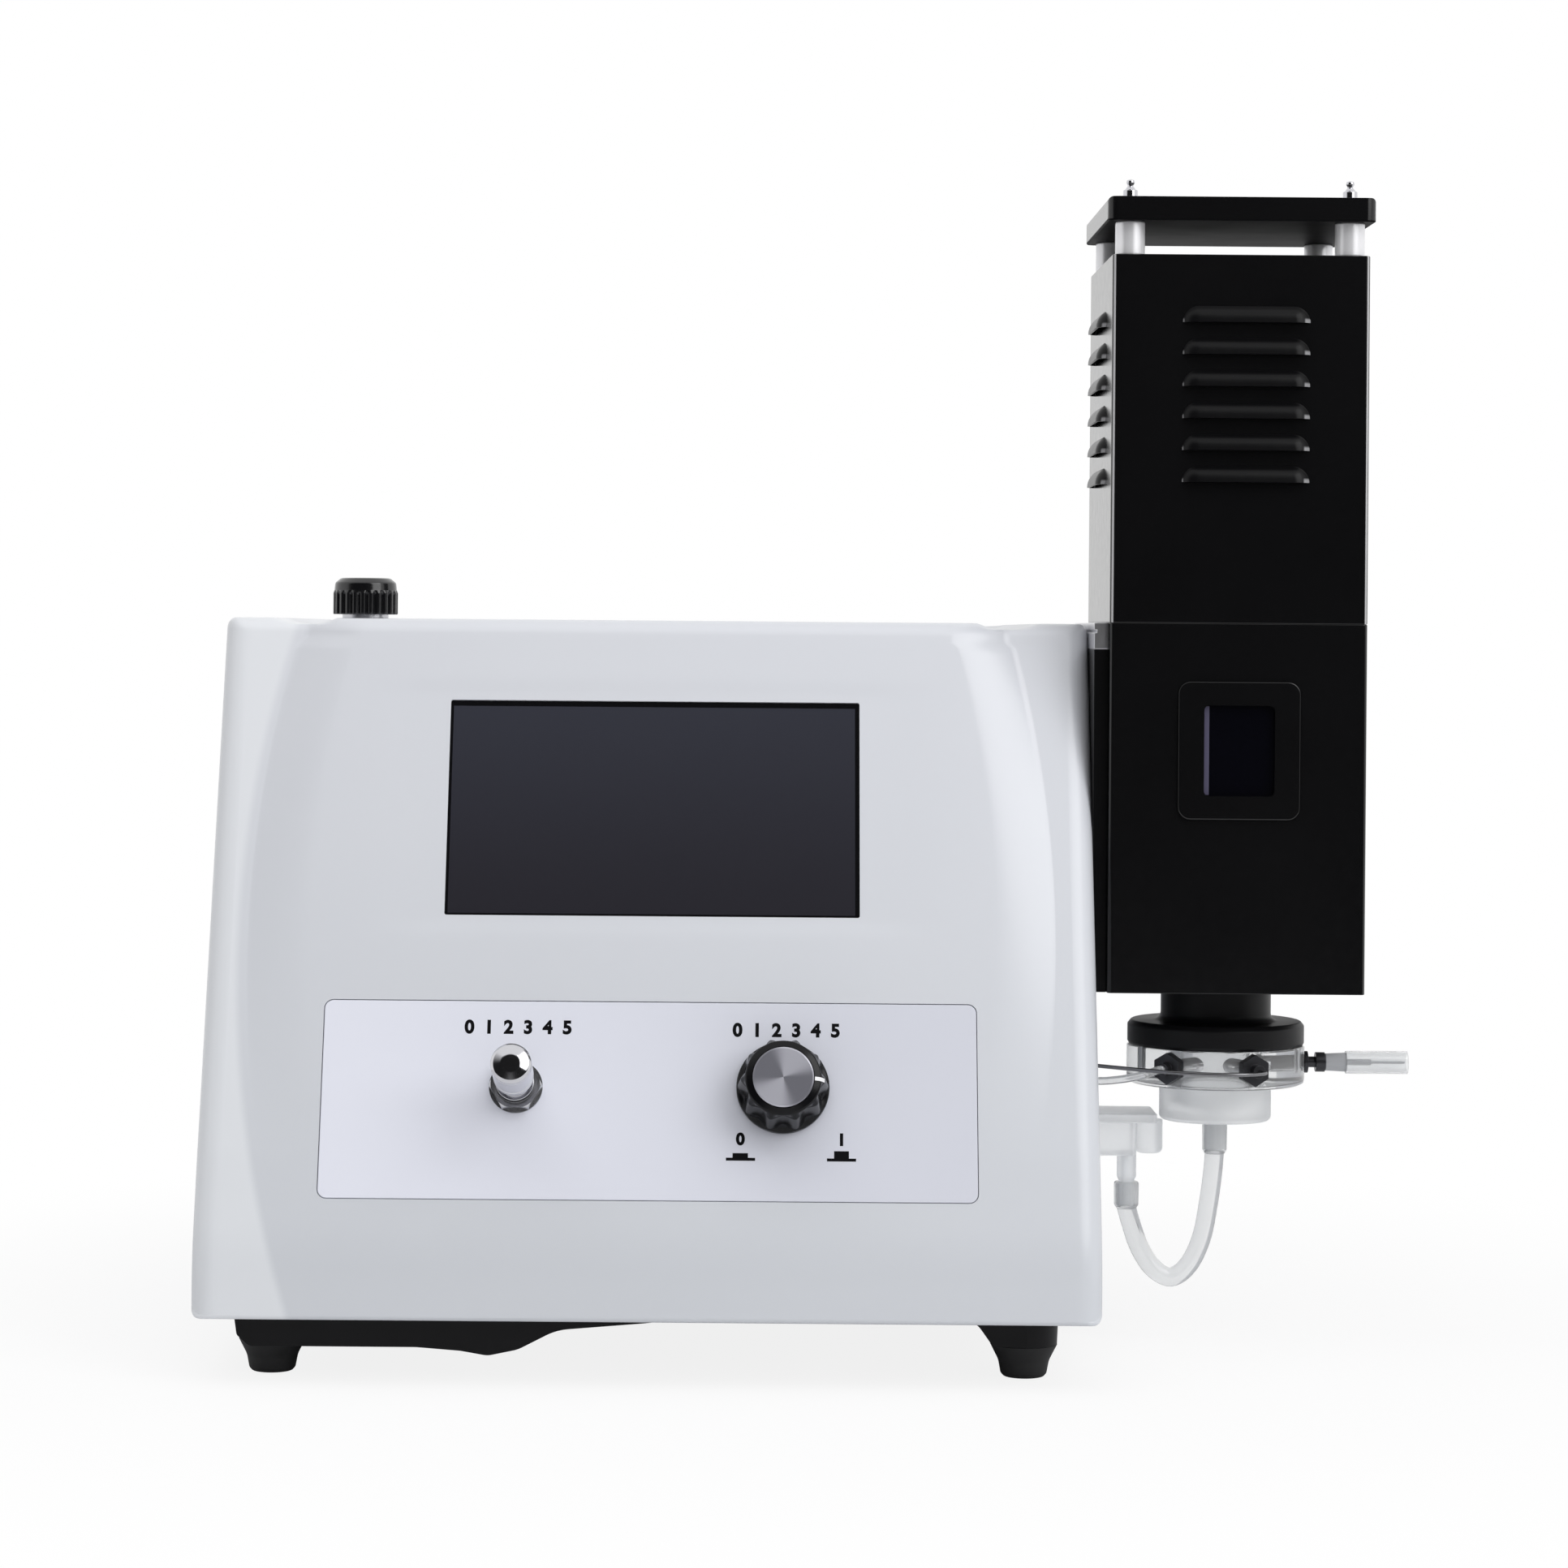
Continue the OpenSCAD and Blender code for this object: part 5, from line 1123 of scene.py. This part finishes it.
GAS_TUBE = [(158, TUBE_Y, GAS_TUBE_Z), (HALF_W, TUBE_Y, GAS_TUBE_Z), (172, 82, 104), (180, 76.6, 105.6),
            (186, 71.6, 107.6), beside(234.6, 45.65), beside(234.6, 41.65)]
AIR_TUBE = [(158, TUBE_Y, AIR_TUBE_Z), (HALF_W, TUBE_Y, AIR_TUBE_Z), (174, 78, 109.6), (190, 67, 109.3),
            (208, 60.6, 109), (222, 60.8, 108.9), beside(287.2, 46.65), beside(287.2, 41.65)]
wearing(swept("gas_tube.piece", flowing(GAS_TUBE), 1.5, 20), HOSE_SKIN)
wearing(swept("air_tube.piece", flowing(AIR_TUBE), 0.75, 16), THIN_STEEL)

# -------- drain
hose_path = flowing([(x, BURNER[1], z) for x, z in HOSE])
hose_piece = wearing(swept("drain_hose.piece", hose_path, HOSE_R, 28, (0, 1, 0)), HOSE_SKIN)
cuffs = []
for x, z, length in ((BURNER[0], 74.5, 10.6), (NIPPLE_X, 53, 9)):
    top = z + length
    cuff_line = rounded_line(
        [(0, z - 1.5), (HOSE_R, z - 1.5), (4.7, z), (4.8, top - 0.6), (4.4, top), (3, top), (3, z), (0, z)],
        [0, 0.8, 1.5, 0.4, 0.3, 0.1, 0.1, 0], 4)
    cuffs.append(turned("cuff", cuff_line, upright(x, BURNER[1]), 40))
cuff_piece = wearing(joined("hose_cuffs", cuffs), HOSE_SKIN)

drum_line = rounded_line([(0, 73.2), (5.3, 73.2), (5.3, 86.1), (0, 86.1)], [0, 2.2, 0.2, 0], 5)
nipple_line = rounded_line([(1.6, 53), (3, 53), (3, 62.5), (3.7, 64), (3.7, 74), (1.6, 74)],
                           [0, 0.4, 0.5, 0.6, 0.2, 0], 4)
waste = [
    block("waste", 28.5, 28, layers(3.6, 0.6, 3, 86), 2, upright(HALF_W + 14.25, BURNER[1])),
    block("waste", 21, 20, layers(13.1, 0.8, 3, 73), 2, upright(HALF_W + 10.5, BURNER[1])),
    turned("waste", drum_line, upright(191.5, BURNER[1]), 48),
    turned("waste", nipple_line, upright(NIPPLE_X, BURNER[1]), 40),
]
wearing(joined("waste_port.piece", waste), MILKY)

# -------- inside
for node in ("display_module", "power_supply"):
    refined(node, PANEL)
for node in ("display_board", "main_board", "detector_board"):
    refined(node, BOARD, 0)
refined("optics_block", BLACK_SATIN)
refined("lens", LENS, 0)
refined("optical_filters", AMBER, 0)

# -------- floor, world and lamps
FLOOR_R, FLOOR_SIDES = 0.9, 64
AMBIENT = 0.4
scene.view_settings.view_transform = "Standard"


def camera_light(tree):
    """1 for rays that the camera sends, straight or through clear plastic, and 0 for the rest."""
    ray = tree.node("ShaderNodeLightPath").outputs
    return tree.maths("MAXIMUM", ray["Is Camera Ray"], ray["Is Transmission Ray"])


floor_mesh = bpy.data.meshes.new("floor")
turns = [2 * math.pi * k / FLOOR_SIDES for k in range(FLOOR_SIDES)]
floor_mesh.from_pydata([(FLOOR_R * math.cos(a), FLOOR_R * math.sin(a), -0.0004) for a in turns], [],
                       [list(range(FLOOR_SIDES))])
floor = linked("floor", floor_mesh)
ground = Finish("pale_floor", (0.93, 0.93, 0.94), 0.8)
# the camera sees it nearly white, with what is left of the object's shadow
away = ground.node("ShaderNodeVectorMath", {"operation": "LENGTH"},
                   i0=ground.node("ShaderNodeTexCoord").outputs["Object"]).outputs["Value"]
pure = ground.band(away, 0.2, 0.55) * 0.14 + 0.86
white = ground.node("ShaderNodeEmission", Strength=1.0, Color=(1, 1, 1, 1))
both = ground.node("ShaderNodeMixShader", i0=camera_light(ground) * pure, i1=ground.shader.outputs[0],
                   i2=white.outputs[0])
ground.join(both.outputs[0], ground.nodes["Material Output"].inputs["Surface"])
floor_mesh.materials.append(ground.material)

world = bpy.data.worlds.new("studio")
scene.world = world
world.use_nodes = True
studio = Tree(world.node_tree)
_, y, z = studio.parts(studio.node("ShaderNodeTexCoord").outputs["Generated"])
# mirrors see white panels beside and behind the object and a dark room behind the camera
front = studio.band(y * -1.0, 0.3, 0.62) * (1.0 - studio.band(z, 0.68, 0.8))
mirrored = 1.0 - front * 0.985
glossy = studio.node("ShaderNodeLightPath").outputs["Is Glossy Ray"]
level = studio.node("ShaderNodeMix", {"data_type": "FLOAT"}, i0=glossy, i2=AMBIENT, i3=mirrored)
total = studio.node("ShaderNodeMix", {"data_type": "FLOAT"}, i0=camera_light(studio), i2=level.outputs[0],
                    i3=1.0)
sky = studio.nodes["Background"]
studio.join(total.outputs[0], sky.inputs["Strength"])
sky.inputs["Color"].default_value = (1, 1, 1, 1)


def softbox(name, place, aim, size, power):
    """A soft white panel that faces aim."""
    lamp = bpy.data.lights.new(name, "AREA")
    lamp.shape, lamp.size, lamp.size_y, lamp.energy = "RECTANGLE", size[0], size[1], power
    obj = linked(name, lamp)
    obj.location = place
    obj.rotation_euler = (Vector(aim) - Vector(place)).to_track_quat("-Z", "Y").to_euler()
    return obj


softbox("right_panel", (1.25, -1.3, 1.3), (0, -0.05, 0.15), (1.3, 1.6), 19)
softbox("top_panel", (-0.2, -0.6, 1.9), (0, 0, 0.15), (2.2, 1.6), 14).visible_glossy = False
